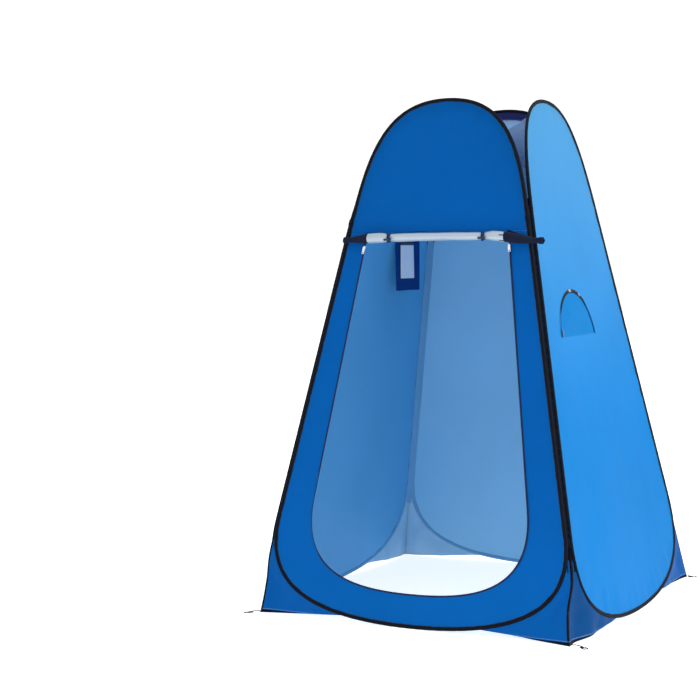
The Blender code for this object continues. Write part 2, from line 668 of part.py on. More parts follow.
# ---- assembly ----
def build():
    profile = binding_profile()
    empties = wall_empties()
    bpy.context.view_layer.update()
    for wall in WALLS:
        add_frame(wall, empties[wall], profile)
        add_gussets(wall, empties[wall])
        add_roof(wall, empties[wall])
    add_door_cloth(empties["front"])
    add_door_zip(empties["front"])
    add_door_roll(empties["front"])
    add_door_sliders(empties["front"])
    add_side_tabs(empties["front"])
    add_plain_wall("right", empties["right"], "light_blue", [half_moon(WINDOW_RADIUS, WINDOW_CHORD_GAP / 2)])
    add_window(empties["right"])
    add_window_slider(empties["right"])
    add_plain_wall("back", empties["back"], "inner_blue")
    add_plain_wall("left", empties["left"], "inner_blue")
    add_pocket(empties["left"])
    add_peg_tabs(empties)
    add_corner_tapes(empties)


build()
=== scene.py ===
"""Looks of the privacy shower tent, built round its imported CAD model.

Metres, +Z up, origin on the ground at the centre of the base. The door wall faces -Y and the window wall +X.
Every wall has its own flat frame: u along its foot, v up its slope and n straight out.
"""

import json
import math

import bpy
import numpy as np
from mathutils import Matrix, Vector
from mathutils.geometry import delaunay_2d_cdt

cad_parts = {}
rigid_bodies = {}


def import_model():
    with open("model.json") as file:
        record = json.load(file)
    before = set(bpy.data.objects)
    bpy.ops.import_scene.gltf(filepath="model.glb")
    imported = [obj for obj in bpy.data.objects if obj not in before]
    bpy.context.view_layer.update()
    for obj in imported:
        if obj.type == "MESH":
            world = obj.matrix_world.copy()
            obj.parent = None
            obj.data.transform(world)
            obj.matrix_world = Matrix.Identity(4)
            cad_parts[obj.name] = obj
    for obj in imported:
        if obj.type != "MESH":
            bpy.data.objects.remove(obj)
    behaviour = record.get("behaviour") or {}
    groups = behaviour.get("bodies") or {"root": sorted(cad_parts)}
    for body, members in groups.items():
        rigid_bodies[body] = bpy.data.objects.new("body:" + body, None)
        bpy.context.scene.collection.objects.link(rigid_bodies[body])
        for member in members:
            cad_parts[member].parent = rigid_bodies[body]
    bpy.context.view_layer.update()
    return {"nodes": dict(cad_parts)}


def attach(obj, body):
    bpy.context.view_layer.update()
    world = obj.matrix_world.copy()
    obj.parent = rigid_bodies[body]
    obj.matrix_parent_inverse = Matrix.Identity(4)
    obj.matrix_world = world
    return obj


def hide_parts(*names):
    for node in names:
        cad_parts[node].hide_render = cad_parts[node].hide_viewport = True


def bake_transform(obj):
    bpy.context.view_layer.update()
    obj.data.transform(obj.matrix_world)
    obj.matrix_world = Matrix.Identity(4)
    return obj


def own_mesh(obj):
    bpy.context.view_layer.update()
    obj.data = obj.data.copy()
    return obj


for left_over in list(bpy.data.objects):
    bpy.data.objects.remove(left_over, do_unlink=True)
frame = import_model()

# ---- sizes shared with the CAD ----
BASE_HALF, APEX_HEIGHT = 0.64, 3.30
CROWN_V, SHOULDER_V, HIP_V = 1.928, 1.52, 0.36
ARCH_RISE, ARCH_REACH, FOOT_DROP, FOOT_REACH = 0.26, 0.22, 0.20, 0.50
SLEEVE_RADIUS, WALL_OUT, GUSSET_OUT = 0.006, 0.0065, 0.0015
CLOTH_INSET = 0.0032  # the cloth's edge lies this far inside the wire, in the sleeve's mouth
DOOR_TOP_V, DOOR_BOTTOM_V, DOOR_TOP_HALF = 1.43, 0.12, 0.281
DOOR_HIP_HALF, DOOR_HIP_V, DOOR_FOOT_DROP, DOOR_FOOT_REACH = 0.420, 0.44, 0.28, 0.24
CHAIN_TOP_V, CHAIN_HALF, CHAIN_OUT = 1.40, 0.003, 0.0083
ROLL_V, ROLL_U, ROLL_HALF, ROLL_RADIUS, ROLL_OUT = 1.409, 0.029, 0.397, 0.016, 0.0295
TIE_U, TIE_OFFSET = 0.0095, 0.1875
SIDE_TAB_V = 1.472
WINDOW_U, WINDOW_V, WINDOW_RADIUS, WINDOW_CHORD = -0.108, 1.026, 0.178, 0.012
ROOF_CENTRE_Z, ROOF_SIDE_INSET, ROOF_CROWN_INSET, ROOF_OUT = 1.74, 0.009, 0.030, 0.0041
POCKET_Y, POCKET_TOP_Z, POCKET_WIDTH, POCKET_DROP, POCKET_THICK = 0.137, 1.40, 0.22, 0.217, 0.012
POCKET_BACK_X = -BASE_HALF * (1 - POCKET_TOP_Z / APEX_HEIGHT) - 0.002
CARD_WIDTH, CARD_DROP, CARD_SHIFT_Y, CARD_SHIFT_Z = 0.120, 0.145, -0.018, 0.013
PEG_TAB_INSET, PEG_TAB_LENGTH, PEG_TAB_HALF, PEG_HOLE, PEG_HOLE_FROM_TIP = 0.006, 0.036, 0.011, 0.005, 0.011

SLOPE_LENGTH = math.hypot(BASE_HALF, APEX_HEIGHT)
LEAN = math.atan2(BASE_HALF, APEX_HEIGHT)
HALF_APEX = math.atan2(BASE_HALF, SLOPE_LENGTH)
UP_SIDE = np.array([-math.sin(HALF_APEX), math.cos(HALF_APEX)])
WALLS = ("front", "right", "back", "left")
SIDES = {"left": -1, "right": 1}
CORNERS = {"front_left": (-1, -1), "front_right": (1, -1), "back_right": (1, 1), "back_left": (-1, 1)}
# How far slack draws each gusset's ground corner from the square, in metres
CORNER_DRAW = {
    "front_left": (0.022, 0.006, 0), "front_right": (-0.036, -0.014, 0),
    "back_right": (-0.006, 0.010, 0), "back_left": (0.006, -0.006, 0),
}
# The corners between two wall bodies: the two bodies, and the way to the first one's side
FOLDS = {
    "front_left": (("front_wall", "left_wall"), (1, -1)),
    "front_right": (("front_wall", "right_wall"), (-1, -1)),
    "back_right": (("right_wall", "back_wall"), (1, -1)),
}
GUSSET_BEND, FRONT_RIGHT_BEND = 0.025, 0.085  # how far from the hinge line a gusset would bend; no bend is built
GUSSET_SLACK, SHADE_SLACK = 0.36, 0.13  # how far from the ground corner the slack is felt
GUSSET_TOP_V, HEM_END_V = 0.335, 0.020
COARSE = 1.0

# ---- sizes of the cloth ----
CLOTH_STEP = 0.011 * COARSE
SKIN = 0.0007
FLANGE = 0.0090  # the binding reaches this far over the cloth, from the wire's centre line
LEFT_CROWN_PULL = 0.036  # the roof draws the left arch in by this much at its crown
LEFT_PULL_V, LEFT_PULL_RISE = 1.42, 0.50  # the pull starts at this height, and grows over this rise
LINING_TOP_V = 1.40  # the binding is lined below this height
ROOF_RUN, ROOF_REACH = 0.34, 0.985  # a roof quarter's length, and its share of the way to the centre
ROOF_HOLLOW = 1.55  # above 1, the roof levels out early on its way to the centre
SEAM_ALLOWANCE, CUT_EXTRA, LEAST_SHARE = 0.012, 1.03, 0.32  # of a sheet's flat size
SILVER_END = (-0.268, 0.280)  # the roll's lining shows between these, its bound edges beyond
HEADER_SHADOW_START, HEADER_SHADOW_END = -0.272, 0.268  # where the header's painted shadow strip starts and ends, along from the point midway between the ties


# ---- lines, in (u, v) ----
def wall_matrix(wall):
    turn = Matrix.Rotation(math.radians(90) * WALLS.index(wall), 4, "Z")
    tilt = Matrix.Rotation(math.radians(90) - LEAN, 4, "X")
    return turn @ Matrix.Translation((0, -BASE_HALF, 0)) @ tilt


def to_row(wall, points):
    """From (u, v, n) of a wall to the row frame."""
    matrix = np.array(wall_matrix(wall))
    points = np.asarray(points, float)
    return (points.reshape(-1, 3) @ matrix[:3, :3].T + matrix[:3, 3]).reshape(points.shape)


def side_u(v, inset):
    return BASE_HALF * (1 - v / SLOPE_LENGTH) - inset / math.cos(HALF_APEX)


def bezier(start, start_handle, end_handle, end):
    t = np.linspace(0, 1, 49)[:, None]
    a, b, c, d = (np.array(p, float) for p in (start, start_handle, end_handle, end))
    return (1 - t) ** 3 * a + 3 * (1 - t) ** 2 * t * b + 3 * (1 - t) * t**2 * c + t**3 * d


def mirrored(points):
    return points[::-1] * np.array([-1, 1])


def arch_half():
    shoulder = np.array([side_u(SHOULDER_V, WALL_OUT), SHOULDER_V])
    return bezier(shoulder, shoulder + UP_SIDE * ARCH_RISE, (ARCH_REACH, CROWN_V), (0, CROWN_V))


def foot_half():
    foot_v = (SLEEVE_RADIUS - WALL_OUT * math.sin(LEAN)) / math.cos(LEAN)
    hip = np.array([side_u(HIP_V, WALL_OUT), HIP_V])
    return bezier((0, foot_v), (FOOT_REACH, foot_v), hip - UP_SIDE * FOOT_DROP, hip)


def wire_line(spacing):
    """The wire's loop, anticlockwise from mid-span of the foot, and each point's run along it."""
    right = np.vstack([foot_half(), arch_half()])
    return resample(np.vstack([right, mirrored(right)[1:-1]]), spacing, closed=True)


def resample(points, spacing, closed=False):
    line = np.vstack([points, points[:1]]) if closed else np.asarray(points, float)
    run = np.concatenate([[0], np.cumsum(np.linalg.norm(np.diff(line, axis=0), axis=1))])
    count = max(3, round(run[-1] / spacing))
    wanted = np.linspace(0, run[-1], count + 1)[: count if closed else count + 1]
    return np.column_stack([np.interp(wanted, run, column) for column in line.T]), wanted


def tangents(points, closed):
    ahead, behind = np.roll(points, -1, axis=0), np.roll(points, 1, axis=0)
    if not closed:
        ahead[-1], behind[0] = points[-1], points[0]
    along = ahead - behind
    return along / np.linalg.norm(along, axis=1, keepdims=True)


def offset(points, distance, closed=True):
    """Moves a line sideways, to its right when distance is positive."""
    along = tangents(points, closed)
    return points + np.column_stack([along[:, 1], -along[:, 0]]) * distance


def door_side(v):
    hip = np.array([DOOR_HIP_HALF, DOOR_HIP_V])
    up_edge = np.array([DOOR_TOP_HALF, DOOR_TOP_V]) - hip
    up_edge /= np.linalg.norm(up_edge)
    return hip + up_edge * ((v - DOOR_HIP_V) / up_edge[1]), up_edge


def door_edge(top_v):
    """The opening's edge from height top_v on the left, round the foot, to the same height on the right."""
    hip, up_edge = door_side(DOOR_HIP_V)
    foot = bezier((0, DOOR_BOTTOM_V), (DOOR_FOOT_REACH, DOOR_BOTTOM_V), hip - up_edge * DOOR_FOOT_DROP, hip)
    half = np.vstack([foot, door_side(top_v)[0]])
    return np.vstack([mirrored(half)[:-1], half])


def inward(line):
    """The way into the wall at each place along its arch, one metre long."""
    return offset(line, -1.0, closed=False) - line


def seam_depth(v):
    """How far inside the wire the roof's seam lies, at each height of the arch."""
    share = np.clip((v - SHOULDER_V) / (CROWN_V - SHOULDER_V), 0, 1) ** 2
    return ROOF_SIDE_INSET + (ROOF_CROWN_INSET - ROOF_SIDE_INSET) * share


def full_turn(count):
    return np.linspace(0, 2 * math.pi, count + 1)[:-1]


def circle(angles):
    return np.column_stack([np.cos(angles), np.sin(angles)])


def half_moon(radius, bottom_gap):
    start = math.asin((WINDOW_CHORD + bottom_gap) / radius)
    return np.array([WINDOW_U, WINDOW_V]) + radius * circle(np.linspace(start, math.pi - start, 49))


def polygon_area(points):
    x, y = points.T
    return abs(np.dot(x, np.roll(y, -1)) - np.dot(y, np.roll(x, -1))) / 2


def inside(points, outlines):
    """Which points lie inside the first outline and outside those within it."""
    odd = np.zeros(len(points), bool)
    for line in outlines:
        for (x0, y0), (x1, y1) in zip(line, np.roll(line, -1, axis=0)):
            if y0 != y1:
                crosses = (y0 > points[:, 1]) != (y1 > points[:, 1])
                odd ^= crosses & (points[:, 0] < (x1 - x0) * (points[:, 1] - y0) / (y1 - y0) + x0)
    return odd


def nearest_on(points, line, closed=True):
    """How far each point is from a line, and the run along it of the nearest place."""
    start, end = (line, np.roll(line, -1, axis=0)) if closed else (line[:-1], line[1:])
    step = end - start
    length = np.linalg.norm(step, axis=1)
    run = np.concatenate([[0], np.cumsum(length)])[:-1]
    far, where = np.zeros(len(points)), np.zeros(len(points))
    for block in np.array_split(np.arange(len(points)), len(points) // 2000 + 1):
        rel = points[block, None, :] - start[None]
        share = np.clip((rel * step).sum(-1) / length**2, 0, 1)
        gap = np.linalg.norm(rel - share[..., None] * step, axis=-1)
        pick, rows = gap.argmin(1), np.arange(len(block))
        far[block] = gap[rows, pick]
        where[block] = run[pick] + share[rows, pick] * length[pick]
    return far, where


def waves(x, y, seed, count=7):
    """Smooth ripples that never repeat, from about -1 to 1. x and y are in wavelengths."""
    draw = np.random.RandomState(seed)
    total = np.zeros(np.broadcast(x, y).shape)
    for _ in range(count):
        angle, phase, pace = draw.uniform(0, 6.28), draw.uniform(0, 6.28), draw.uniform(0.6, 1.5)
        total += np.sin(6.28 * pace * (x * math.cos(angle) + y * math.sin(angle)) + phase)
    return total / math.sqrt(count)


def smooth_step(x):
    x = np.clip(x, 0, 1)
    return x * x * (3 - 2 * x)


# ---- meshes ----
def new_mesh(name, points, faces, uv_of_corner, materials, slots):
    mesh = bpy.data.meshes.new(name)
    mesh.from_pydata([tuple(p) for p in points], [], [tuple(f) for f in faces])
    layer = mesh.uv_layers.new(name="UVMap")
    layer.data.foreach_set("uv", np.asarray(uv_of_corner, np.float32).ravel())
    mesh.polygons.foreach_set("use_smooth", np.ones(len(mesh.polygons), bool))
    for one in materials:
        mesh.materials.append(one)
    mesh.polygons.foreach_set("material_index", np.asarray(slots, np.int32))
    mesh.update()
    mesh.set_sharp_from_angle(angle=math.radians(50))
    obj = bpy.data.objects.new(name, mesh)
    bpy.context.scene.collection.objects.link(obj)
    return obj


def settle(piece, body, slot, *nodes):
    """Hides the CAD nodes a piece stands for and puts the piece on the body it rides on. The slot is not
    used.
    """
    if nodes:
        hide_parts(*nodes)
    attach(piece, body)


def point_attribute(obj, name, values):
    """A number on every vertex, for the material to read."""
    made = obj.data.attributes.new(name, "FLOAT", "POINT")
    made.data.foreach_set("value", np.asarray(values, np.float32))


def lattice(low, high, step):
    rows = []
    for i, v in enumerate(np.arange(low[1], high[1], step * 0.866)):
        u = np.arange(low[0] + step * (i % 2) / 2, high[0], step)
        rows.append(np.column_stack([u, np.full(len(u), v)]))
    return np.vstack(rows)


def cloth(name, wall, outlines, lift, materials, step=CLOTH_STEP, skin=SKIN):
    """A thin closed skin over flat outlines, raised by lift(uv) along n. Its slots are outer and inner."""
    outlines = [resample(line, step, closed=True)[0] for line in outlines]
    spots = lattice(outlines[0].min(0), outlines[0].max(0), step)
    spots = spots[inside(spots, outlines)]
    clear = np.min([nearest_on(spots, line)[0] for line in outlines], axis=0) > 0.55 * step
    points = np.vstack([*outlines, spots[clear]])
    edges, first = [], 0
    for line in outlines:
        edges += [(first + i, first + (i + 1) % len(line)) for i in range(len(line))]
        first += len(line)
    made = delaunay_2d_cdt([Vector(p) for p in points], edges, [], 0, 1e-7)
    uv, triangles = np.array([v[:] for v in made[0]]), np.array(made[2])
    triangles = triangles[inside(uv[triangles].mean(1), outlines)]
    a, b, c = (uv[triangles[:, k]] for k in range(3))
    turned = np.cross(b - a, c - a) < 0
    triangles[turned] = triangles[turned][:, ::-1]
    return skin_over(name, wall, uv, triangles, lift(uv), materials, skin)


def skin_over(name, wall, uv, triangles, out, materials, skin):
    count = len(uv)
    points = np.vstack([np.column_stack([uv, out + skin / 2]), np.column_stack([uv, out - skin / 2])])
    directed = {(int(p), int(q)) for t in triangles for p, q in zip(t, np.roll(t, -1))}
    rim = sorted(e for e in directed if (e[1], e[0]) not in directed)
    faces = [tuple(t) for t in triangles]
    faces += [tuple(count + t[::-1]) for t in triangles]
    faces += [(p + count, q + count, q, p) for p, q in rim]
    slots = [0] * len(triangles) + [1] * len(triangles) + [0] * len(rim)
    both = np.vstack([uv, uv])
    corners = np.concatenate([np.array(f) for f in faces])
    return new_mesh(name, to_row(wall, points), faces, both[corners], materials, slots)


def loft(name, rings, materials, closed=False, capped=False, uv=None, slot_of=None):
    """A skin through rings of points (rings, points, 3). uv has one more column, for the way round."""
    rings = np.asarray(rings, float)
    n, m = rings.shape[:2]
    i, j = np.meshgrid(np.arange(n if closed else n - 1), np.arange(m), indexing="ij")
    i, j = i.ravel(), j.ravel()
    i2, j2 = (i + 1) % n, (j + 1) % m
    faces = np.column_stack([i * m + j, i * m + j2, i2 * m + j2, i2 * m + j])
    if uv is None:
        run = np.concatenate([[0], np.cumsum(np.linalg.norm(np.diff(rings.mean(1), axis=0), axis=1))])
        run = np.append(run, run[-1] + np.linalg.norm(rings[0].mean(0) - rings[-1].mean(0)))
        round_it = np.linalg.norm(np.roll(rings[0], -1, axis=0) - rings[0], axis=1)
        across = np.concatenate([[0], np.cumsum(round_it)])
        uv = np.stack(np.meshgrid(run, across, indexing="ij"), axis=-1)
    corner_uv = np.stack([uv[i, j], uv[i, j + 1], uv[i + 1, j + 1], uv[i + 1, j]], axis=1).reshape(-1, 2)
    faces = [tuple(f) for f in faces.tolist()]
    slots = [slot_of(int(a), int(b)) for a, b in zip(i, j)] if slot_of else [0] * len(faces)
    if capped:
        faces += [tuple(range(m))[::-1], tuple((n - 1) * m + k for k in range(m))]
        corner_uv = np.vstack([corner_uv, uv[0, :m][::-1], uv[n - 1, :m]])
        slots += [slots[0], slots[-1]]
    return new_mesh(name, rings.reshape(-1, 3), faces, corner_uv, materials, slots)


def frames_along(wall, line, closed, out):
    """Row-frame centres of a line on a wall, with the ways to its left and straight out."""
    along = tangents(line, closed)
    left = np.column_stack([-along[:, 1], along[:, 0], np.zeros(len(line))])
    centres = np.column_stack([line, np.broadcast_to(out, len(line))])
    rotation = np.array(wall_matrix(wall))[:3, :3]
    return to_row(wall, centres), left @ rotation.T, np.broadcast_to(rotation[:, 2], (len(line), 3))


def sweep(name, wall, line, section, out, materials, closed=False, slot_of=None):
    """Carries a section, one set of (left, out) points or a set for each place, along a line on a wall."""
    centres, left, up = frames_along(wall, line, closed, out)
    section = np.broadcast_to(section, (len(line), *np.shape(section)[-2:]))
    rings = centres[:, None] + left[:, None] * section[..., :1] + up[:, None] * section[..., 1:]
    lengths = np.linalg.norm(np.diff(np.vstack([line, line[:1]]), axis=0), axis=1)
    run = np.concatenate([[0], np.cumsum(lengths)])[: len(line) + 1]
    wrapped = np.concatenate([section[0], section[0][:1]])
    uv = np.stack(np.meshgrid(run, wrapped[:, 0], indexing="ij"), axis=-1)
    return loft(name, rings, materials, closed, not closed, uv, slot_of)


def flat_section(low, high, thick, soft=0.35):
    """A tape's section from low to high, thick overall, with softened edges."""
    edge = min(thick, (high - low) / 4)
    half = thick / 2
    return np.array([
        (high, -half * soft), (high, half * soft), (high - edge, half), ((low + high) / 2, half),
        (low + edge, half), (low, half * soft), (low, -half * soft), (low + edge, -half),
        ((low + high) / 2, -half), (high - edge, -half),
    ])


def shell(name, grid, thick, materials, slot_of, uv):
    """A thin closed skin over a grid of points. slot_of(row, column, outer) picks each face's slot."""
    down, across = np.gradient(grid, axis=0), np.gradient(grid, axis=1)
    normal = np.cross(across, down)
    normal /= np.maximum(np.linalg.norm(normal, axis=2, keepdims=True), 1e-12)
    n, m = grid.shape[:2]
    points = np.concatenate([grid + normal * thick / 2, grid - normal * thick / 2]).reshape(-1, 3)
    faces, slots, count = [], [], n * m
    for i in range(n - 1):
        for j in range(m - 1):
            a, b, c, d = i * m + j, i * m + j + 1, (i + 1) * m + j + 1, (i + 1) * m + j
            faces += [(a, b, c, d), (d + count, c + count, b + count, a + count)]
            slots += [slot_of(i, j, True), slot_of(i, j, False)]
    ring = list(range(m)) + [i * m + m - 1 for i in range(1, n)]
    ring += [(n - 1) * m + j for j in range(m - 2, -1, -1)] + [i * m for i in range(n - 2, 0, -1)]
    for p, q in zip(ring, ring[1:] + ring[:1]):
        faces.append((q, p, p + count, q + count))
        slots.append(slot_of(min(p // m, n - 2), min(p % m, m - 2), True))
    flat = np.vstack([uv.reshape(-1, 2)] * 2)
    return new_mesh(name, points, faces, flat[np.array(faces).ravel()], materials, slots)


# ---- materials ----
STITCH_PITCH = 0.0045
# Where the gussets' black hem, corner seam and corner patch fade out, and the hem's row of stitches
HEM_EDGE, SEAM_EDGE, PATCH_EDGE, HEM_STITCH_V = (0.0115, 0.0125), (0.0035, 0.0042), (0.2835, 0.2850), 0.0155


class Graph:
    """A material's nodes, written as sums."""

    def __init__(self, name, roughness=0.7, metallic=0.0, **fixed):
        self.material = bpy.data.materials.new(name)
        self.material.use_nodes = True
        self.tree = self.material.node_tree
        self.shader = self.tree.nodes["Principled BSDF"]
        self.shader.inputs["Roughness"].default_value = roughness
        self.shader.inputs["Metallic"].default_value = metallic
        for socket, value in fixed.items():
            self.shader.inputs[socket.replace("_", " ")].default_value = value

    def node(self, kind, inputs=(), **settings):
        made = self.tree.nodes.new(kind)
        for key, value in settings.items():
            setattr(made, key, value)
        for socket, value in dict(inputs).items():
            self.feed(made.inputs[socket], value)
        return made

    def feed(self, socket, value):
        if isinstance(value, bpy.types.NodeSocket):
            self.tree.links.new(value, socket)
        else:
            socket.default_value = value

    def math(self, operation, *values):
        return self.node("ShaderNodeMath", dict(enumerate(values)), operation=operation).outputs[0]

    def inverse(self, value):
        return self.math("SUBTRACT", 1.0, value)

    def wave(self, along, pitch):
        return self.math("SINE", self.math("MULTIPLY", along, 2 * math.pi / pitch))

    def coordinates(self, which="UV"):
        return self.node("ShaderNodeTexCoord").outputs[which]

    def parts(self, vector):
        return self.node("ShaderNodeSeparateXYZ", {0: vector}).outputs

    def attribute(self, name):
        return self.node("ShaderNodeAttribute", attribute_name=name).outputs["Fac"]

    def noise(self, vector, scale, detail=2.0):
        inputs = {"Vector": vector, "Scale": scale, "Detail": detail}
        return self.node("ShaderNodeTexNoise", inputs).outputs["Fac"]

    def creases(self, vector, scale):
        inputs = {"Vector": vector, "Scale": scale}
        return self.node("ShaderNodeTexVoronoi", inputs, feature="DISTANCE_TO_EDGE").outputs["Distance"]

    def mix(self, share, low, high):
        made = self.node("ShaderNodeMix", data_type="RGBA")
        for socket, value in zip((made.inputs[0], made.inputs[6], made.inputs[7]), (share, low, high)):
            self.feed(socket, value)
        return made.outputs[2]

    def between(self, value, low, high):
        """From 0 at low to 1 at high, smoothly."""
        made = self.node("ShaderNodeMapRange", {0: value, 1: low, 2: high}, interpolation_type="SMOOTHSTEP")
        return made.outputs[0]

    def band(self, value, centre, half, soft):
        """1 within half of centre, fading to 0 over soft."""
        away = self.math("ABSOLUTE", self.math("SUBTRACT", value, centre))
        return self.inverse(self.between(away, half, half + soft))

    def weave(self, pitch):
        """Crossing threads of a plain weave, from 0 to 1, on UVs in metres."""
        u, v, _ = self.parts(self.coordinates())
        crossing = self.math("MULTIPLY", self.wave(u, pitch), self.wave(v, pitch))
        return self.math("MULTIPLY_ADD", crossing, 0.5, 0.5)

    def stitches(self, along, across, centre):
        """A row of stitches along UV x, at a place across it."""
        phase = self.math("FRACT", self.math("DIVIDE", along, STITCH_PITCH))
        row = self.band(across, centre, 0.0003, 0.0003)
        return self.math("MULTIPLY", self.band(phase, 0.5, 0.3, 0.12), row)

    def bump(self, height, distance, strength, under=None):
        made = self.node("ShaderNodeBump", {"Height": height, "Distance": distance, "Strength": strength})
        if under is not None:
            self.feed(made.inputs["Normal"], under)
        return made.outputs[0]

    def done(self, colour, roughness=None, normal=None, alpha=None):
        given = {"Base Color": colour, "Roughness": roughness, "Normal": normal, "Alpha": alpha}
        for socket, value in given.items():
            if value is not None:
                self.feed(self.shader.inputs[socket], value)
        return self.material


def shade(colour, factor):
    return (*(min(1.0, c * factor) for c in colour), 1.0)


def thin_cloth(name, colour, through, share, roughness=0.5, spread=0.10, metallic=0.0, black=None, high=None):
    """Thin coated polyester: plain weave, slow changes of tone, crinkle, creases, and some light through it.

    black, if given, turns a graph into shares of black trim and of thread. high, if given, is a lighter tone
    painted in near the roof: painted light.
    """
    g = Graph(name, metallic=metallic, Specular_IOR_Level=0.05, Sheen_Weight=0.02, Sheen_Roughness=0.35)
    g.shader.inputs["Sheen Tint"].default_value = (0.45, 0.75, 1.0, 1.0)
    place = g.coordinates("Object")
    tone = g.noise(place, 2.3, 4.0)
    fine = g.weave(0.0011)
    colour_out = g.mix(tone, shade(colour, 1 - spread), shade(colour, 1 + spread))
    # Painted light: higher up the wall the colour turns towards high, a lighter tone standing in for the
    # stronger light on the wall's top.
    if high is not None:
        height = g.math("MULTIPLY_ADD", tone, 0.3, g.parts(place)[2])
        colour_out = g.mix(g.between(height, 0.7, 2.1), colour_out, shade(high, 1.0))
    colour_out = g.mix(g.math("MULTIPLY", fine, 0.10), colour_out, shade(colour, 0.55))
    line = g.inverse(g.between(g.creases(place, 3.1), 0.0, 0.010))
    line = g.math("MULTIPLY", line, g.between(g.noise(place, 1.7), 0.42, 0.60))
    colour_out = g.mix(g.math("MULTIPLY", line, 0.10), colour_out, shade(colour, 1.5))
    normal = g.bump(g.noise(place, 26.0, 3.0), 0.0016, 0.5)
    normal = g.bump(line, 0.0006, 0.5, normal)
    normal = g.bump(fine, 0.00012, 0.4, normal)
    rough = g.math("MULTIPLY_ADD", g.noise(place, 9.0, 3.0), 0.16, roughness - 0.08)
    lit = g.mix(tone, shade(through, 0.9), shade(through, 1.1))
    if black is not None:
        trim, thread = black(g)
        black_cloth = g.mix(g.noise(place, 40.0, 3.0), shade(BLACK, 0.8), shade(BLACK, 1.6))
        colour_out, lit = g.mix(trim, colour_out, black_cloth), g.mix(trim, lit, (0, 0, 0, 1))
        colour_out = g.mix(thread, colour_out, (0.45, 0.58, 0.75, 1))
        normal = g.bump(g.math("MAXIMUM", trim, thread), 0.0008, 0.8, normal)
    g.done(colour_out, rough, normal)
    behind = g.node("ShaderNodeBsdfTranslucent", {"Color": lit, "Normal": normal}).outputs[0]
    mixed = g.node("ShaderNodeMixShader", {0: share, 1: g.shader.outputs[0], 2: behind}).outputs[0]
    g.tree.links.new(mixed, g.tree.nodes["Material Output"].inputs["Surface"])
    return g.material


def woven_tape(name, colour, edge_stitch=None, rib=0.0012):
    """Ribbed tape along UV x, with a stitched row where edge_stitch says."""
    g = Graph(name, Specular_IOR_Level=0.05, Sheen_Weight=0.02, Sheen_Roughness=0.5)
    u, v, _ = g.parts(g.coordinates())
    tone = g.noise(g.coordinates("Object"), 18.0, 4.0)
    colour_out = g.mix(tone, shade(colour, 0.7), shade(colour, 1.5))
    normal = g.bump(tone, 0.0012, 0.5, g.bump(g.wave(u, rib), 0.00025, 0.6))
    if edge_stitch is not None:
        thread = g.stitches(u, v, edge_stitch)
        colour_out = g.mix(thread, colour_out, (0.06, 0.065, 0.08, 1))
        normal = g.bump(thread, 0.0006, 0.8, normal)
    return g.done(colour_out, g.math("MULTIPLY_ADD", tone, 0.2, 0.65), normal)


def see_through_net(name, colour, hole, solid_share):
    """Knitted mesh with small holes in crossing rows."""
    g = Graph(name, roughness=0.8, Specular_IOR_Level=0.1)
    u, v, _ = g.parts(g.coordinates())
    cell = g.math("ADD", g.wave(u, hole), g.wave(v, hole))
    alpha = g.math("MULTIPLY_ADD", g.between(cell, -0.5, 0.5), -0.3, solid_share + 0.15)
    tone = g.noise(g.coordinates("Object"), 4.0, 3.0)
    colour_out = g.mix(tone, shade(colour, 0.8), shade(colour, 1.25))
    return g.done(colour_out, None, g.bump(cell, 0.0003, 0.5), alpha)


def metal(name, colour, roughness, metallic=1.0):
    g = Graph(name, metallic=metallic)
    place = g.coordinates("Object")
    wear = g.noise(place, 120.0, 4.0)
    colour_out = g.mix(wear, shade(colour, 0.8), shade(colour, 1.15))
    rough = g.math("MULTIPLY_ADD", wear, 0.25, roughness - 0.1)
    return g.done(colour_out, rough, g.bump(g.noise(place, 900.0, 3.0), 0.00005, 0.5))


def plastic(name, colour):
    g = Graph(name)
    place = g.coordinates("Object")
    grain = g.noise(place, 1400.0)
    colour_out = g.mix(g.noise(place, 60.0, 3.0), shade(colour, 0.85), shade(colour, 1.2))
    rough = g.math("MULTIPLY_ADD", grain, 0.15, 0.45)
    return g.done(colour_out, rough, g.bump(grain, 0.00005, 0.6))


def zip_cloth(name, colour, tooth_colour, cover_from=None):
    """A zip's coil and tape. Past cover_from metres from the arch's top, a blue fold of cloth covers it."""
    g = Graph(name, roughness=0.5, Specular_IOR_Level=0.12)
    u, _, _ = g.parts(g.coordinates())
    tooth = g.band(g.math("FRACT", g.math("DIVIDE", u, 0.003)), 0.5, 0.16, 0.15)
    colour_out = g.mix(tooth, shade(colour, 1.0), shade(tooth_colour, 1.0))
    if cover_from is not None:
        # Painted highlights: two pale grey glints on the coil, one near the arch's top and one part way
        # along.
        away = g.math("ABSOLUTE", g.math("SUBTRACT", u, WINDOW_ZIP_LENGTH / 2 + 0.012))
        side_glint = g.band(u, WINDOW_ZIP_LENGTH * 0.35, 0.004, 0.004)
        glint = g.math("MAXIMUM", g.band(away, 0.004, 0.004, 0.004), side_glint)
        colour_out = g.mix(g.math("MULTIPLY", glint, 0.55), colour_out, (0.45, 0.50, 0.55, 1))
        covered = g.between(away, cover_from, cover_from + 0.05)
        colour_out = g.mix(covered, colour_out, (0.006, 0.10, 0.30, 1))
    return g.done(colour_out, None, g.bump(tooth, 0.0006, 0.8))


def gusset_trim(g):
    """A black hem along the ground, a black corner seam and patch, and thread along the hem."""
    u, v, _ = g.parts(g.coordinates())
    corner = g.attribute("corner")
    hem = g.inverse(g.between(v, *HEM_EDGE))
    seam = g.inverse(g.between(corner, *SEAM_EDGE))
    trim = g.math("MAXIMUM", g.math("MAXIMUM", hem, seam), g.between(v, *PATCH_EDGE))
    return trim, g.stitches(u, v, HEM_STITCH_V)


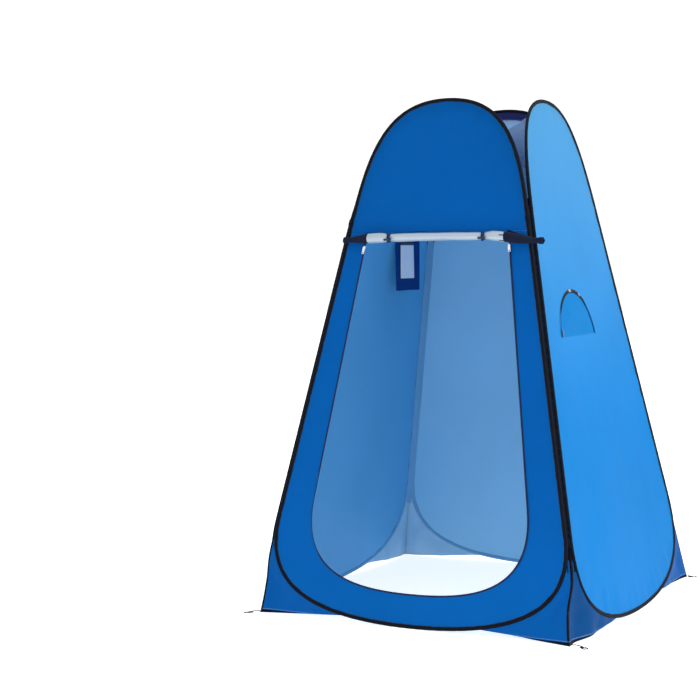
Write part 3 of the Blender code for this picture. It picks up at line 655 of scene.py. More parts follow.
def card_face():
    """A blank white card with a black strip along its top."""
    g = Graph("card_face", roughness=0.35)
    place = g.coordinates("Object")
    strip = g.between(g.parts(place)[2], POCKET_TOP_Z - 0.036, POCKET_TOP_Z - 0.034)
    paper = g.mix(g.noise(place, 30.0, 3.0), (0.78, 0.82, 0.88, 1), (0.88, 0.91, 0.94, 1))
    colour_out = g.mix(strip, paper, (0.012, 0.014, 0.02, 1))
    return g.done(colour_out, None, g.bump(g.noise(place, 25.0), 0.001, 0.4))


WINDOW_ZIP_LENGTH = math.pi * WINDOW_RADIUS * 0.96
# The window wall's blue and its tone near the roof are lighter and more cyan than the other walls' blue:
# painted light, for the wall that faces the lamp.
BLUE, SIDE_LIT_BLUE, SIDE_LIT_TOP = (0.0, 0.108, 0.385), (0.0, 0.165, 0.430), (0.060, 0.245, 0.430)
INSIDE, THROUGH, BEHIND = (0.15, 0.40, 0.66), (0.42, 0.70, 0.92), (0.02, 0.38, 0.74)
BLACK = (0.003, 0.005, 0.010)
SHARE = 0.40  # of the light that meets a wall's skin goes on through it
OUTER = thin_cloth("blue_polyester", BLUE, BEHIND, SHARE)
# A lit copy of the wall cloth, for the window wall: painted light.
SIDE_OUTER = thin_cloth("blue_polyester_in_light", SIDE_LIT_BLUE, BEHIND, SHARE, high=SIDE_LIT_TOP)
INNER = thin_cloth("silver_coated_inside", INSIDE, THROUGH, SHARE, roughness=0.42, metallic=0.1)
# A lighter copy of the inside cloth, for the back wall: painted light.
BACK_INNER = thin_cloth("silver_coated_inside_in_light", (0.34, 0.62, 0.80), THROUGH, SHARE, roughness=0.42)
GUSSET_INNER = thin_cloth("gusset_inside", (0.42, 0.66, 0.82), THROUGH, SHARE, roughness=0.42)
# The window flap's blue is lifted towards the window wall's lit blue: painted light.
FLAP = thin_cloth("flap_polyester", (0.0, 0.158, 0.40), BEHIND, SHARE)
# The gussets' blue is darker than the walls': painted shade. The window wall's two gussets are darker still,
# its front one most: more painted shade.
GUSSET = thin_cloth("gusset_cloth", (0.0, 0.084, 0.32), BEHIND, 0.36, black=gusset_trim)
GUSSET_HALF_SHADE = thin_cloth("gusset_cloth_painted_half_shade", (0.0, 0.060, 0.23), BEHIND, 0.28, black=gusset_trim)
GUSSET_SHADE = thin_cloth("gusset_cloth_in_shade", (0.0, 0.036, 0.13), BEHIND, 0.22, black=gusset_trim)
ROLL_SILVER = thin_cloth("silver_lining", (0.41, 0.49, 0.57), THROUGH, 0.1, 0.36, spread=0.08, metallic=0.4)
POCKET_CLOTH = thin_cloth("navy_pocket", (0.002, 0.040, 0.20), THROUGH, 0.02)
# Dark cloth: the roof quarters' dark hem, and painted shade inside each arch above the roof's seam.
DARK_HEM_AND_SHADE = thin_cloth("dark_hem_and_painted_shade", (0.022, 0.028, 0.12), THROUGH, 0.05, roughness=0.65)
LINED = thin_cloth("lined_binding", (0.17, 0.44, 0.74), THROUGH, 0.32)
BINDING = woven_tape("black_binding", BLACK, edge_stitch=0.0082)
WEBBING = woven_tape("black_webbing", BLACK, rib=0.0018)
TIE = woven_tape("navy_webbing", (0.008, 0.03, 0.14), rib=0.0018)
ROLL_BLACK = woven_tape("black_edge_binding", (0.006, 0.009, 0.024))
NET = see_through_net("roof_net", (0.20, 0.33, 0.55), 0.0022, 0.42)
SCREEN = see_through_net("window_net", (0.02, 0.025, 0.05), 0.0018, 0.70)
STEEL = metal("spring_steel", (0.45, 0.46, 0.48), 0.35)
ZINC = metal("zinc_slider", (0.80, 0.81, 0.83), 0.28)
PAINTED = metal("painted_slider", (0.02, 0.10, 0.20), 0.35, metallic=0.2)
PLASTIC = plastic("black_plastic", BLACK)
CARD = card_face()
TEETH = zip_cloth("zip_teeth", (0.010, 0.011, 0.018), (0.035, 0.04, 0.06))
# Navy cloth: the door zip's tape, and the painted shadow along the header's lower edge.
NAVY_PIPING_AND_SHADOW = zip_cloth("navy_piping_and_painted_shadow", (0.004, 0.014, 0.06), (0.006, 0.02, 0.09))
ARCH_TEETH = zip_cloth("arch_teeth", BLACK, (0.012, 0.014, 0.02), cover_from=0.13)
ARCH_TAPE = zip_cloth("arch_tape", BLACK, BLACK, cover_from=0.13)
NODE_LOOKS = {"window_zip": PAINTED, "zip": ZINC, "toggle": PLASTIC}  # other CAD nodes that show are steel


# ---- the four walls ----
def pucker(run):
    """How far the bound edge ripples in and out, at each run along the wire."""
    return 0.0007 * waves(run / 0.038, 0 * run, 11) * (0.7 + 0.3 * waves(run / 0.45, 0 * run, 12))


def bow(wall, v):
    """How far a wall's arch departs from its flat plane."""
    pull = LEFT_CROWN_PULL if wall == "left" else 0.0
    return -pull * smooth_step((v - LEFT_PULL_V) / LEFT_PULL_RISE)


def wall_lift(wall, out=WALL_OUT, slack=1.0):
    """A taut wall's small departures from flat: a rippled edge, and slow tension waves inside it."""
    loop, _ = wire_line(0.012)
    seed = 20 + WALLS.index(wall)

    def lift(uv):
        far, run = nearest_on(uv, loop)
        edge = pucker(run) * np.exp(-far / 0.035)
        pull = 0.0010 * waves(run / 0.085, 0 * run, seed + 4) * np.exp(-(((far - 0.05) / 0.05) ** 2))
        slow = 0.0028 * waves(uv[:, 0] / 0.9, uv[:, 1] / 1.3, seed) * smooth_step(far / 0.16)
        fine = 0.0007 * waves(uv[:, 0] / 0.16, uv[:, 1] / 0.5, seed + 8) * smooth_step(far / 0.10)
        return out + bow(wall, uv[:, 1]) + edge + slack * (pull + slow + fine)

    return lift


def add_binding(wall):
    """The black binding that holds the wire: a round sleeve, and a flange over the cloth's edge."""
    line, run = wire_line(0.009 * COARSE)
    tube = 0.0056 * circle(np.radians(np.linspace(38, 322, 13)))
    inner_face = np.array([(0.0058, -0.0024), (0.0074, -0.0016), (FLANGE, -0.0011)])
    flange = np.vstack([inner_face, inner_face[::-1] * [1, -1]])
    section = np.vstack([tube, flange])[None].repeat(len(line), axis=0)
    away = np.clip((section[..., 0] - 0.003) / 0.005, 0, 1)
    section[..., 1] += away * pucker(run)[:, None]
    section[..., 0] += away * 0.0005 * waves(run / 0.021, 0 * run, 31)[:, None]
    section *= 1 + 0.03 * waves(run / 0.03, 0 * run, 32)[:, None, None]

    def lined(i, j):
        return 1 if 8 <= j <= 14 and line[i, 1] < LINING_TOP_V else 0

    out = WALL_OUT + bow(wall, line[:, 1])
    piece = sweep(f"{wall}_binding", wall, line, section, out, [BINDING, LINED], closed=True, slot_of=lined)
    settle(piece, f"{wall}_wall", "binding", f"{wall}_frame_sleeve")


def add_left_wire():
    """The left wall's wire, drawn in with its arch."""
    line, _ = wire_line(0.010)
    out = WALL_OUT + bow("left", line[:, 1])
    section = 0.0015 * circle(full_turn(8))
    piece = sweep("left_wire_drawn", "left", line, section, out, [STEEL], closed=True)
    settle(piece, "left_wall", "spring_steel", "left_spring_wire")


def declare(outline):
    """A sheet's flat size: its outline and a seam allowance all round. A thin strip is cut nested."""
    size = np.ptp(outline, axis=0) + 2 * SEAM_ALLOWANCE
    cut = polygon_area(outline) * CUT_EXTRA
    if cut < LEAST_SHARE * size[0] * size[1]:
        size = np.array([size[0], cut / LEAST_SHARE / size[0]])


def cloth_outline():
    return offset(wire_line(0.008)[0], -CLOTH_INSET)


def add_panel(wall, holes=()):
    outline = cloth_outline()
    # The window wall's outside and the back wall's inside take lit copies of the cloth: painted light.
    looks = [SIDE_OUTER if wall == "right" else OUTER, BACK_INNER if wall == "back" else INNER]
    piece = cloth(f"{wall}_wall_cloth", wall, [outline, *holes], wall_lift(wall), looks)
    declare(outline)
    settle(piece, f"{wall}_wall", "blue_fabric", f"{wall}_panel")


def add_arch_shade_strip(wall):
    """A dark strip inside the arch, down to the roof's seam: painted shade on the wall's inside above the
    roof.
    """
    line, _ = resample(np.vstack([arch_half(), mirrored(arch_half())[1:]]), 0.012)
    columns = np.linspace(0, 1, 5)
    deep = 0.006 + (seam_depth(line[:, 1])[:, None, None] + 0.004) * columns[None, :, None]
    grid = line[:, None] + inward(line)[:, None] * deep
    out = WALL_OUT - 0.0024 - 0.0006 * (1 - columns)[None] + bow(wall, line[:, 1])[:, None]
    points = to_row(wall, np.concatenate([grid, out[..., None]], axis=2))
    piece = shell(f"{wall}_arch_painted_shade_strip", points, 0.0006, [DARK_HEM_AND_SHADE], lambda i, j, outer: 0, grid)
    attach(piece, f"{wall}_wall")


def roof_rim():
    """A roof quarter's sewn edge: along the arch, and out to the corner at each end."""
    half = arch_half()
    inset = half + inward(half) * seam_depth(half[:, 1])[:, None]
    inset[-1, 0] = 0
    end_v = SHOULDER_V - 0.004
    inset = np.vstack([[(side_u(end_v, -0.001), end_v)], inset])
    return resample(np.vstack([inset, mirrored(inset)[1:]]), 0.012 * COARSE)[0]


def add_roof(wall):
    """A quarter of the see-through roof, on its wall's body."""
    rim = roof_rim()
    out = ROOF_OUT + bow(wall, rim[:, 1]) - ROOF_OUT * smooth_step((SHOULDER_V - rim[:, 1]) / 0.004)
    start = to_row(wall, np.column_stack([rim, out]))
    share = np.linspace(0, ROOF_REACH, 22)
    grid = start[:, None] * (1 - share)[:, None] + np.array([0, 0, ROOF_CENTRE_Z]) * share[:, None]
    height = ROOF_CENTRE_Z + (start[:, None, 2] - ROOF_CENTRE_Z) * (1 - share) ** ROOF_HOLLOW
    grid[..., 2] += 0.5 * (height - grid[..., 2])
    length = np.linalg.norm(np.diff(start, axis=0), axis=1).sum()
    run = np.linspace(0, length, len(rim))[:, None]
    uv = np.stack([run * (1 - share), ROOF_RUN * share + 0 * run], axis=-1)

    def edges(i, j, outer):
        return 1 if j < 1 or i in (0, len(rim) - 2) else 0

    piece = shell(f"{wall}_roof_net", grid, 0.0006, [NET, DARK_HEM_AND_SHADE], edges, uv)
    settle(piece, f"{wall}_wall", "roof_mesh", f"{wall}_roof_mesh")
    out = np.array(wall_matrix(wall))[:3, 2]
    anchor = to_row(wall, [(0, CROWN_V, 0)])[0]
    tuple(anchor)
    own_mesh(piece)


def corner_line(name):
    """A corner's foot on the ground, and the direction of its hinge line."""
    foot = np.array([*CORNERS[name], 0]) * BASE_HALF
    up = np.array([0, 0, APEX_HEIGHT]) - foot
    return foot, up / np.linalg.norm(up)


def bend_at_corner(piece, name, reach):
    """Bakes a corner piece's place into its mesh; it is put on no body and does not bend. reach is not used.
    """
    bodies, toward = FOLDS[name]
    foot, up = corner_line(name)
    middle, way = foot + up * 0.9, np.array([*toward, 0]) / math.sqrt(2) * reach
    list(bodies)
    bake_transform(piece)


def gusset_outline():
    """Half a gusset, between the rounded foot, the corner seam and a hem that stops at the foot."""
    foot = offset(foot_half(), 0.0030, closed=False)
    line = foot[(foot[:, 1] > HEM_END_V) & (foot[:, 1] < GUSSET_TOP_V)]
    hem_v = (SKIN / 2 - GUSSET_OUT) * math.tan(LEAN) + 0.0004
    corner = [(side_u(v, -0.0022), v) for v in (hem_v, GUSSET_TOP_V)]
    return np.vstack([corner, line[::-1]])


def add_gussets(wall):
    """The half gussets of both corners: taut between the rounded foot, the corner seam and the hem."""
    outline, foot = gusset_outline(), foot_half()
    place = np.array(wall_matrix(wall))
    for side, sign in reversed(SIDES.items()):
        corner_name = list(CORNERS)[(WALLS.index(wall) + (side == "right")) % 4]

        def measure(uv):
            """The distances from the foot and from the corner seam, and the run along the foot."""
            right = uv * [sign, 1]
            far, run = nearest_on(right, foot, closed=False)
            return far, side_u(right[:, 1], GUSSET_OUT) - right[:, 0], run

        def lift(uv):
            far, corner, run = measure(uv)
            tuck = (WALL_OUT - GUSSET_OUT) * (1 - smooth_step(far / 0.05)) * smooth_step(corner / 0.025)
            hollow = -0.009 * smooth_step(corner / 0.07) * smooth_step(far / 0.08)
            ripple = 0.0016 * waves(run / 0.07, 0 * run, 41) * smooth_step(corner / 0.05)
            return GUSSET_OUT + tuck + hollow + ripple * smooth_step(far / 0.02)

        points = outline if sign > 0 else mirrored(outline)
        name = f"{wall}_gusset_cloth_{side}"
        # The window wall's gussets take the darker cloths: painted shade.
        look = {("right", "left"): GUSSET_SHADE, ("right", "right"): GUSSET_HALF_SHADE}.get((wall, side), GUSSET)
        piece = cloth(name, wall, [points], lift, [look, GUSSET_INNER], step=0.009 * COARSE)
        co = np.empty(len(piece.data.vertices) * 3)
        piece.data.vertices.foreach_get("co", co)
        co = co.reshape(-1, 3)
        local = (co - place[:3, 3]) @ place[:3, :3]
        far, corner, _ = measure(local[:, :2])
        share = smooth_step(1 - local[:, 1] / GUSSET_TOP_V) * smooth_step(far / 0.09)
        share *= smooth_step(1 - (corner - 0.02) / (SHADE_SLACK if look is GUSSET_SHADE else GUSSET_SLACK))
        co += share[:, None] * np.array(CORNER_DRAW[corner_name])
        co[:, 2] = np.maximum(co[:, 2], 0.0004)
        piece.data.vertices.foreach_set("co", co.ravel())
        piece.data.update()
        point_attribute(piece, "corner", corner)
        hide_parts(f"{wall}_gusset_{side}")
        declare(points)
        if corner_name in FOLDS:
            reach = FRONT_RIGHT_BEND if corner_name == "front_right" else GUSSET_BEND
            bend_at_corner(piece, corner_name, reach)
        else:
            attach(piece, f"{wall}_wall")


# ---- the door wall ----
def add_door_cloth():
    """The front wall in two pieces: the header above the door, and the surround beside and below it."""
    outline = cloth_outline()
    side = side_u(DOOR_TOP_V, WALL_OUT + CLOTH_INSET)
    seam = 0.0003
    above = outline[outline[:, 1] > DOOR_TOP_V + 0.004]
    header = np.vstack([[(-side, DOOR_TOP_V + seam), (side, DOOR_TOP_V + seam)], above])
    below = outline[outline[:, 1] < DOOR_TOP_V - 0.004]
    first = int(np.argmax(below[:, 0] < -1e-6))
    rim = np.vstack([below[first:], below[:first]])
    inner = door_edge(DOOR_TOP_V - seam)
    surround = np.vstack([[(-side, DOOR_TOP_V - seam)], rim, [(side, DOOR_TOP_V - seam)], inner[::-1]])
    for name, shape, node in (
        ("front_header_cloth", header, "front_header"),
        ("front_surround_cloth", surround, "front_door_surround"),
    ):
        piece = cloth(name, "front", [shape], wall_lift("front"), [OUTER, INNER])
        declare(shape)
        settle(piece, "front_wall", "blue_fabric", node)


def add_header_shadow_strip():
    """A dark navy strip along the header's lower edge: painted shadow where the rolled door hangs under it.
    """
    u = TIE_U + np.linspace(HEADER_SHADOW_START, HEADER_SHADOW_END, 70)
    line = np.column_stack([u, np.full(len(u), DOOR_TOP_V - 0.0005)])
    out = wall_lift("front")(line) + 0.0012
    piece = sweep("front_header_painted_shadow", "front", line, flat_section(-0.005, 0.005, 0.0009), out, [NAVY_PIPING_AND_SHADOW])
    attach(piece, "front_wall")


def add_zip(name, wall, line, looks, reach):
    """A zip's tape, and the coil along its free edge, which is at the line's left."""
    tape = sweep(f"{name}_tape", wall, line, flat_section(-reach, 0.0020, 0.0011), 0.00765, looks[:1])
    fine, _ = resample(line, 0.0015 * COARSE)
    swell = 1 + 0.16 * np.cos(np.arange(len(fine)) * math.pi)
    coil = circle(full_turn(6)) * [0.0014, 0.0012] + [0, 0.0006]
    section = coil * swell[:, None, None] + [0.0014, 0]
    teeth = sweep(f"{name}_coil", wall, fine, section, CHAIN_OUT, looks[1:])
    settle(tape, f"{wall}_wall", "zip_chain", f"{name}_chain")
    settle(teeth, f"{wall}_wall", "zip_chain")


def add_door_zip():
    line, _ = resample(offset(door_edge(CHAIN_TOP_V), CHAIN_HALF / 2, closed=False), 0.010 * COARSE)
    add_zip("door_zip", "front", line, [NAVY_PIPING_AND_SHADOW, TEETH], 0.0042)


def roll_shape(u, angle):
    """How the roll's radius departs from round, at each place along it and each way round."""
    from_tie = np.minimum(np.abs(u - TIE_U - TIE_OFFSET), np.abs(u - TIE_U + TIE_OFFSET))
    beyond = np.abs(u - TIE_U) - TIE_OFFSET
    size = 0.97 + 0.20 * smooth_step(beyond / 0.035)
    waist = -0.15 * (1 - smooth_step((from_tie - 0.006) / 0.030))
    end = np.abs(u - ROLL_U) / ROLL_HALF
    taper = 1 - 0.50 * smooth_step((end - 0.72) / 0.24) + 0.16 * smooth_step((end - 0.94) / 0.03)
    lumps = 0.05 * np.sin(angle * 2 + 9 * u + 1.0) + 0.03 * np.sin(angle + 23 * u)
    folds = 0.028 * np.sin(angle * 3 + 41 * u + 0.7) + 0.014 * np.sin(angle * 5 + 87 * u)
    seam = -0.09 * np.exp(-(((angle - 0.35 + 0.25 * np.sin(7 * u)) / 0.24) ** 2))
    return (size + waist + lumps + folds + seam) * taper


def add_door_roll():
    """The door cloth, rolled up outwards from its foot, lining side out. It hangs from the header's edge."""
    length, turn_step = DOOR_TOP_V - DOOR_BOTTOM_V, math.radians(14)
    core = 0.0022
    growth = (ROLL_RADIUS**2 - core**2) / length
    run, radius, angle = [length], [ROLL_RADIUS], [math.pi]
    while run[-1] > 0.004:
        run.append(run[-1] - radius[-1] * turn_step)
        radius.append(math.sqrt(core**2 + max(run[-1], 0) * growth))
        angle.append(angle[-1] + turn_step)
    run, radius, angle = (np.array(x) for x in (run, radius, angle))
    half = opening_half(DOOR_BOTTOM_V + np.maximum(run, 0.002)) / DOOR_HIP_HALF * (ROLL_HALF - 0.001)
    half[run > DOOR_HIP_V - DOOR_BOTTOM_V] = ROLL_HALF - 0.001
    across = np.sin(np.linspace(-1, 1, 61) * math.pi / 2)
    u = ROLL_U + half[:, None] * across[None]
    way = angle[:, None] % (2 * math.pi)
    reach = radius[:, None] * roll_shape(u, np.where(way > math.pi, way - 2 * math.pi, way))
    droop = np.where(u > 0, 0.021, 0.007) * smooth_step((np.abs(u - TIE_U) - TIE_OFFSET) / 0.22) ** 1.2
    out = ROLL_OUT + reach * np.cos(angle)[:, None]
    v = ROLL_V + reach * np.sin(angle)[:, None] * 0.97 - droop
    rows = np.stack([u, v, out], axis=2)
    lead = np.linspace(1, 0, 6)[:-1, None, None]
    top = np.clip(u[0], -DOOR_TOP_HALF, DOOR_TOP_HALF)
    hang = np.array([(x, DOOR_TOP_V + 0.0035, WALL_OUT + 0.0016) for x in top])
    rows = np.concatenate([rows[:1] * (1 - lead) + hang[None] * lead, rows])
    lengths = np.concatenate([length + 0.02 * lead[:, 0, 0], run])
    uv = np.stack([rows[..., 0], np.repeat(lengths[:, None], rows.shape[1], axis=1)], axis=2)
    place = rows[..., 0] - 0.002 * np.sin(np.arange(len(rows)) * 1.3)[:, None]
    black = (place < SILVER_END[0]) | (place > SILVER_END[1])

    def slot_of(i, j, outer):
        return 2 if black[i, j] or black[i, j + 1] else (0 if outer else 1)

    looks = [ROLL_SILVER, OUTER, ROLL_BLACK]
    piece = shell("rolled_door_cloth", to_row("front", rows), 0.00032, looks, slot_of, uv)
    declare(door_edge(DOOR_TOP_V))
    settle(piece, "front_wall", "silver_lining", "rolled_door")


def opening_half(v):
    """Half the door opening's width at a height."""
    edge = door_edge(DOOR_TOP_V)
    right = edge[edge[:, 0] >= -1e-9]
    return np.interp(v, right[:, 1], right[:, 0])


def add_ties():
    """Webbing bands looped round the roll, sewn to the header's edge, each with a hanging tail."""
    section, tail_section = flat_section(-0.0065, 0.0065, 0.0012), flat_section(-0.0055, 0.0055, 0.0011)
    for side, sign in SIDES.items():
        centre = TIE_U + sign * TIE_OFFSET
        rings = []
        for a in full_turn(40):
            way = a - 2 * math.pi if a > math.pi else a
            radius = ROLL_RADIUS * float(roll_shape(np.array(centre), np.array(way))) + 0.0014 + section[:, 1]
            u = centre + section[:, 0] * (1 + 0.05 * math.sin(3 * a))
            v = ROLL_V + radius * math.sin(a) * 0.97
            rings.append(np.column_stack([u, v, ROLL_OUT + radius * math.cos(a)]))
        band = loft(f"door_tie_band_{side}", to_row("front", rings), [TIE], closed=True)
        drop = np.linspace(0, 1, 12)
        line = np.column_stack([centre + 0.003 * np.sin(drop * 2.5), ROLL_V + 0.012 - 0.034 * drop])
        bulge = ROLL_OUT + 0.0175 + 0.0015 * np.sin(drop * 3.0) - 0.002 * drop
        tail = sweep(f"door_tie_tail_{side}", "front", line, tail_section, bulge, [TIE])
        settle(band, "front_wall", "webbing", f"door_tie_{side}")
        settle(tail, "front_wall", "webbing")


def add_side_tabs():
    """Folded webbing loops sewn to the sleeves above the roll."""
    section = flat_section(-0.0065, 0.0065, 0.0013)
    for side, sign in SIDES.items():
        base = np.array([sign * side_u(SIDE_TAB_V, WALL_OUT), SIDE_TAB_V])
        along = UP_SIDE * [sign, 1]
        across = np.array([along[1], -along[0]])
        rings = []
        for a in np.linspace(0, 2 * math.pi, 24)[:-1]:
            plan = base + along * 0.013 * math.cos(a) + section[:, :1] * across
            out = WALL_OUT + SLEEVE_RADIUS + 0.0030 + 0.0028 * math.sin(a) + section[:, 1]
            rings.append(np.column_stack([plan, out]))
        piece = loft(f"side_tab_loop_{side}", to_row("front", rings), [WEBBING], closed=True)
        settle(piece, "front_wall", "webbing", f"side_tab_{side}")


# ---- the window ----
def add_window():
    """A half-moon opening with a net behind it, a zip round it and a flap over it."""
    add_panel("right", [half_moon(WINDOW_RADIUS, 0.0005)])
    screen_line = half_moon(WINDOW_RADIUS + 0.010, 0.004)
    base = wall_lift("right", WALL_OUT - 0.0019)
    screen = cloth("window_screen_net", "right", [screen_line], base, [SCREEN, SCREEN], skin=0.0005)
    declare(screen_line)
    settle(screen, "right_wall", "roof_mesh", "window_screen")
    line, _ = resample(half_moon(WINDOW_RADIUS + 0.0005, 0.001), 0.008)
    add_zip("window_zip", "right", line, [ARCH_TAPE, ARCH_TEETH], 0.0068)
    flap_line = half_moon(WINDOW_RADIUS - 0.006, 0.001)
    level = wall_lift("right")

    def puffed(uv):
        far, _ = nearest_on(uv, flap_line)
        return level(uv) + 0.0035 * smooth_step(far / 0.07)

    flap = cloth("window_flap_cloth", "right", [flap_line], puffed, [FLAP, INNER], step=0.007 * COARSE)
    declare(flap_line)
    settle(flap, "window_flap", "blue_fabric", "window_flap")


# ---- pocket, peg tabs and corner tapes ----
def add_pocket():
    """A flat cloth pocket that hangs from its top edge, with a gathered mouth."""
    turn = full_turn(64)
    cos, sin = np.cos(turn), np.sin(turn)
    inside_depths, outside_depths = np.linspace(0.99, 0.02, 14), np.linspace(0, 0.985, 16)
    rings = []
    for k, depth in enumerate([*inside_depths, 0.0, *outside_depths]):
        cloth_thick = 0.0009 if k < len(inside_depths) else 0
        half_y = (POCKET_WIDTH / 2) * (0.985 - 0.03 * depth) - cloth_thick
        half_x = (POCKET_THICK / 2) * (0.86 - 0.5 * abs(depth - 0.35) ** 1.5) - cloth_thick
        x = POCKET_BACK_X + POCKET_THICK / 2 + half_x * np.sign(cos) * np.abs(cos) ** 0.35
        y = POCKET_Y + half_y * np.sign(sin) * np.abs(sin) ** 0.45
        x = x + 0.0009 * np.sin(y * 190) * (1 - depth) ** 3 * (cos > 0)
        drop = POCKET_DROP * depth + 0.004 * np.sin((y - POCKET_Y) * 12) ** 2 * depth
        rings.append(np.column_stack([x, y, POCKET_TOP_Z - 0.001 - np.minimum(drop, POCKET_DROP - 0.0015)]))
    pocket = loft("toiletry_pocket_cloth", rings, [POCKET_CLOTH], capped=True)
    settle(pocket, "pocket", "pocket_fabric", "toiletry_pocket")


def add_card():
    """A blank card in the pocket's window."""
    y, z = np.meshgrid(np.linspace(-0.5, 0.5, 9), np.linspace(0.5, -0.5, 12))
    x = POCKET_BACK_X + POCKET_THICK + 0.0010 + 0.0009 * np.sin(y * 3 + 1) * np.sin(z * 3)
    middle = POCKET_TOP_Z - POCKET_DROP / 2 + CARD_SHIFT_Z
    grid = np.stack([x, POCKET_Y + CARD_SHIFT_Y - y * CARD_WIDTH, middle + z * CARD_DROP], axis=2)
    card = shell("pocket_card_face", grid, 0.0008, [CARD], lambda i, j, outer: 0, np.stack([y, z], axis=2))
    settle(card, "pocket", "card", "pocket_card")


def corner_wall(name):
    """The wall whose body a corner's peg tab and strap ride on."""
    return name.split("_")[0] + "_wall"


def add_peg_tabs():
    """Webbing tabs with a metal eyelet, flat on the ground outside each corner."""
    hole_at = PEG_TAB_INSET + PEG_TAB_LENGTH - PEG_HOLE_FROM_TIP
    around = circle(full_turn(48))
    blunt = np.sign(around) * np.abs(around) ** 0.5
    half_size = np.array([PEG_TAB_LENGTH / 2, PEG_TAB_HALF])
    edge = blunt * half_size + [PEG_TAB_INSET + PEG_TAB_LENGTH / 2, 0]
    hole = around * PEG_HOLE + [hole_at, 0]
    under = ((0.0, 0.0003), (0.5, 0.0002), (0.97, 0.0002), (1.0, 0.0008))
    over = ((1.0, 0.0014), (0.97, 0.0019), (0.5, 0.0020), (0.0, 0.0019))
    turn = full_turn(12)
    for name, sides in CORNERS.items():
        out = np.array(sides) / math.sqrt(2)
        axes = np.array([out, (-out[1], out[0])])
        corner = np.array(sides) * BASE_HALF
        rings = []
        for share, z in (*under, *over):
            plan = corner + (hole * (1 - share) + edge * share) @ axes
            rings.append(np.column_stack([plan, np.full(len(plan), z + 0.0004 * math.sin(share * 3))]))
        tab = loft(f"peg_webbing_{name}", rings, [WEBBING], closed=True)
        eyelet = []
        for radial in around @ axes:
            plan = corner + out * hole_at + (PEG_HOLE + 0.0006 + 0.0011 * np.cos(turn))[:, None] * radial
            eyelet.append(np.column_stack([plan, 0.0015 + 0.0012 * np.sin(turn)]))
        ring = loft(f"peg_eyelet_{name}", eyelet, [ZINC], closed=True)
        settle(tab, corner_wall(name), "webbing", f"peg_tab_{name}")
        settle(ring, corner_wall(name), "zip_metal")


def add_peg_straps():
    """A webbing end from each gusset's hem to its peg tab."""
    section = flat_section(-0.0055, 0.0055, 0.0012)
    for name, sides in CORNERS.items():
        start = np.array([*sides, 0]) * BASE_HALF + np.array(CORNER_DRAW[name]) + [0, 0, 0.004]
        end = np.array([*sides, 0]) * (BASE_HALF + 0.009) + [0, 0, 0.0028]
        t = np.linspace(0, 1, 14)[:, None]
        path = start * (1 - t) + end * t + np.array([0, 0, 0.004]) * np.sin(math.pi * t)
        across = np.cross([0, 0, 1], end - start)
        across /= np.linalg.norm(across)
        rings = path[:, None] + across * section[None, :, :1] + np.array([0, 0, 1.0]) * section[None, :, 1:]
        piece = loft(f"peg_strap_{name}", rings, [WEBBING], capped=True)
        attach(piece, corner_wall(name))


def add_corner_strip(name, kind, section, low, high, reach, slot_of=None):
    """A strip along a corner's hinge line, between two heights of the walls."""
    foot, up = corner_line(name)
    across = np.array([-CORNERS[name][1], CORNERS[name][0], 0]) / math.sqrt(2)
    out = np.cross(across, up)
    height = np.linspace(low, high, 140) / math.cos(HALF_APEX)
    wobble = 0.0002 * waves(height / 0.03, 0 * height, 51)
    rings = [
        foot + up * h + across * section[:, :1] + out * (section[:, 1:] + b) for h, b in zip(height, wobble)
    ]
    strip = loft(f"corner_{kind}_{name}", rings, [BINDING, LINED], capped=True, slot_of=slot_of)
    if name in FOLDS:
        bend_at_corner(strip, name, reach)
    else:
        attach(strip, "left_wall")
    return strip


def add_corner_tapes():
    """Tapes sewn between neighbouring sleeves, and a hollow lining strip behind each."""
    half, thick, count = 0.0150, 0.0006, 9
    span = np.linspace(half, -half, count)
    span = np.concatenate([span, span[::-1]])
    deep = np.repeat([0.0, -thick], count)
    lining = np.column_stack([span, deep - 0.0044 - 0.0022 * (1 - (span / half) ** 2)])
    tape = flat_section(-0.0034, 0.0034, 0.0010)

    def inner_side(i, j):
        return 1 if count <= j < 2 * count - 1 else 0

    for name in CORNERS:
        strip = add_corner_strip(name, "tape", tape, HIP_V - 0.03, SHOULDER_V - 0.01, 0.0034)
        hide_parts(f"corner_tape_{name}")
        add_corner_strip(name, "lining", lining, HIP_V - 0.115, SHOULDER_V + 0.03, half, inner_side)


# ---- build ----
for wall in WALLS:
    add_binding(wall)
    add_arch_shade_strip(wall)
    add_gussets(wall)
add_left_wire()
for wall in WALLS:
    add_roof(wall)
add_door_cloth()
add_header_shadow_strip()
add_door_zip()
add_ties()
add_door_roll()
add_side_tabs()
add_window()
add_panel("back")
add_panel("left")
add_pocket()
add_card()
add_peg_tabs()
add_peg_straps()
add_corner_tapes()
for node, obj in frame["nodes"].items():
    obj.data.materials.clear()
    obj.data.materials.append(next((look for word, look in NODE_LOOKS.items() if word in node), STEEL))


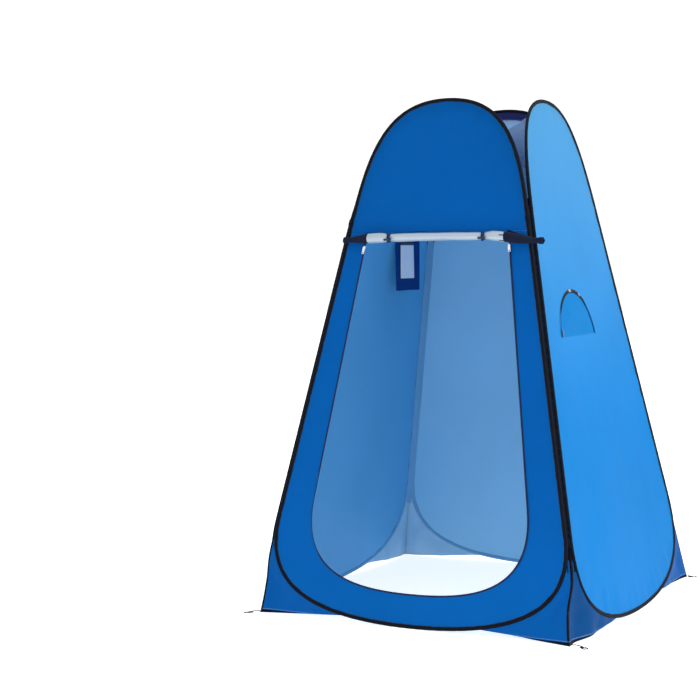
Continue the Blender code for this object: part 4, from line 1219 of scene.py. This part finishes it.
# ---- stage, light and camera ----
FLOOR_GLOW, SKY_STRENGTH = 0.72, 1.1
KEY_PLACE, KEY_AIM, KEY_SIZE, KEY_POWER = (4.2, 0.2, 3.4), (0.4, 0.0, 1.5), 2.0, 260.0
CAMERA_PLACE, CAMERA_LENS = (2.4295, -5.6619, 1.3090), 81.7
CAMERA_TURN = ((27.845, "Z"), (86.754, "X"), (-0.761, "Z"))  # degrees, one after the other
WHITE = (1.0, 1.0, 1.0, 1.0)


def add_to_scene(name, data):
    obj = bpy.data.objects.new(name, data)
    bpy.context.scene.collection.objects.link(obj)
    return obj


def add_stage():
    """A pale floor, an even white sky and one soft light from the window wall's side."""
    bpy.ops.mesh.primitive_plane_add(size=60)
    floor = bpy.context.active_object
    floor.name = "floor"
    g = Graph("pale_floor", roughness=0.9)
    tone = g.noise(g.coordinates("Object"), 0.5)
    g.shader.inputs["Emission Color"].default_value = WHITE
    g.shader.inputs["Emission Strength"].default_value = FLOOR_GLOW
    floor.data.materials.append(g.done(g.mix(tone, (0.70, 0.70, 0.70, 1), (0.73, 0.73, 0.73, 1))))
    world = bpy.data.worlds.new("studio")
    bpy.context.scene.world = world
    world.use_nodes = True
    sky = world.node_tree.nodes["Background"]
    sky.inputs[0].default_value = WHITE
    sky.inputs[1].default_value = SKY_STRENGTH
    light = bpy.data.lights.new("key", "AREA")
    light.size, light.energy = KEY_SIZE, KEY_POWER
    key = add_to_scene("key", light)
    key.location = KEY_PLACE
    key.rotation_euler = (Vector(KEY_AIM) - Vector(KEY_PLACE)).to_track_quat("-Z", "Y").to_euler()
    bpy.context.scene.view_settings.view_transform = "Standard"


def add_camera():
    camera = bpy.data.cameras.new("camera")
    camera.lens, camera.sensor_width = CAMERA_LENS, 36.0
    obj = add_to_scene("camera", camera)
    place = Matrix.Translation(CAMERA_PLACE)
    for angle, axis in CAMERA_TURN:
        place = place @ Matrix.Rotation(math.radians(angle), 4, axis)
    obj.matrix_world = place
    bpy.context.scene.camera = obj


add_stage()
add_camera()
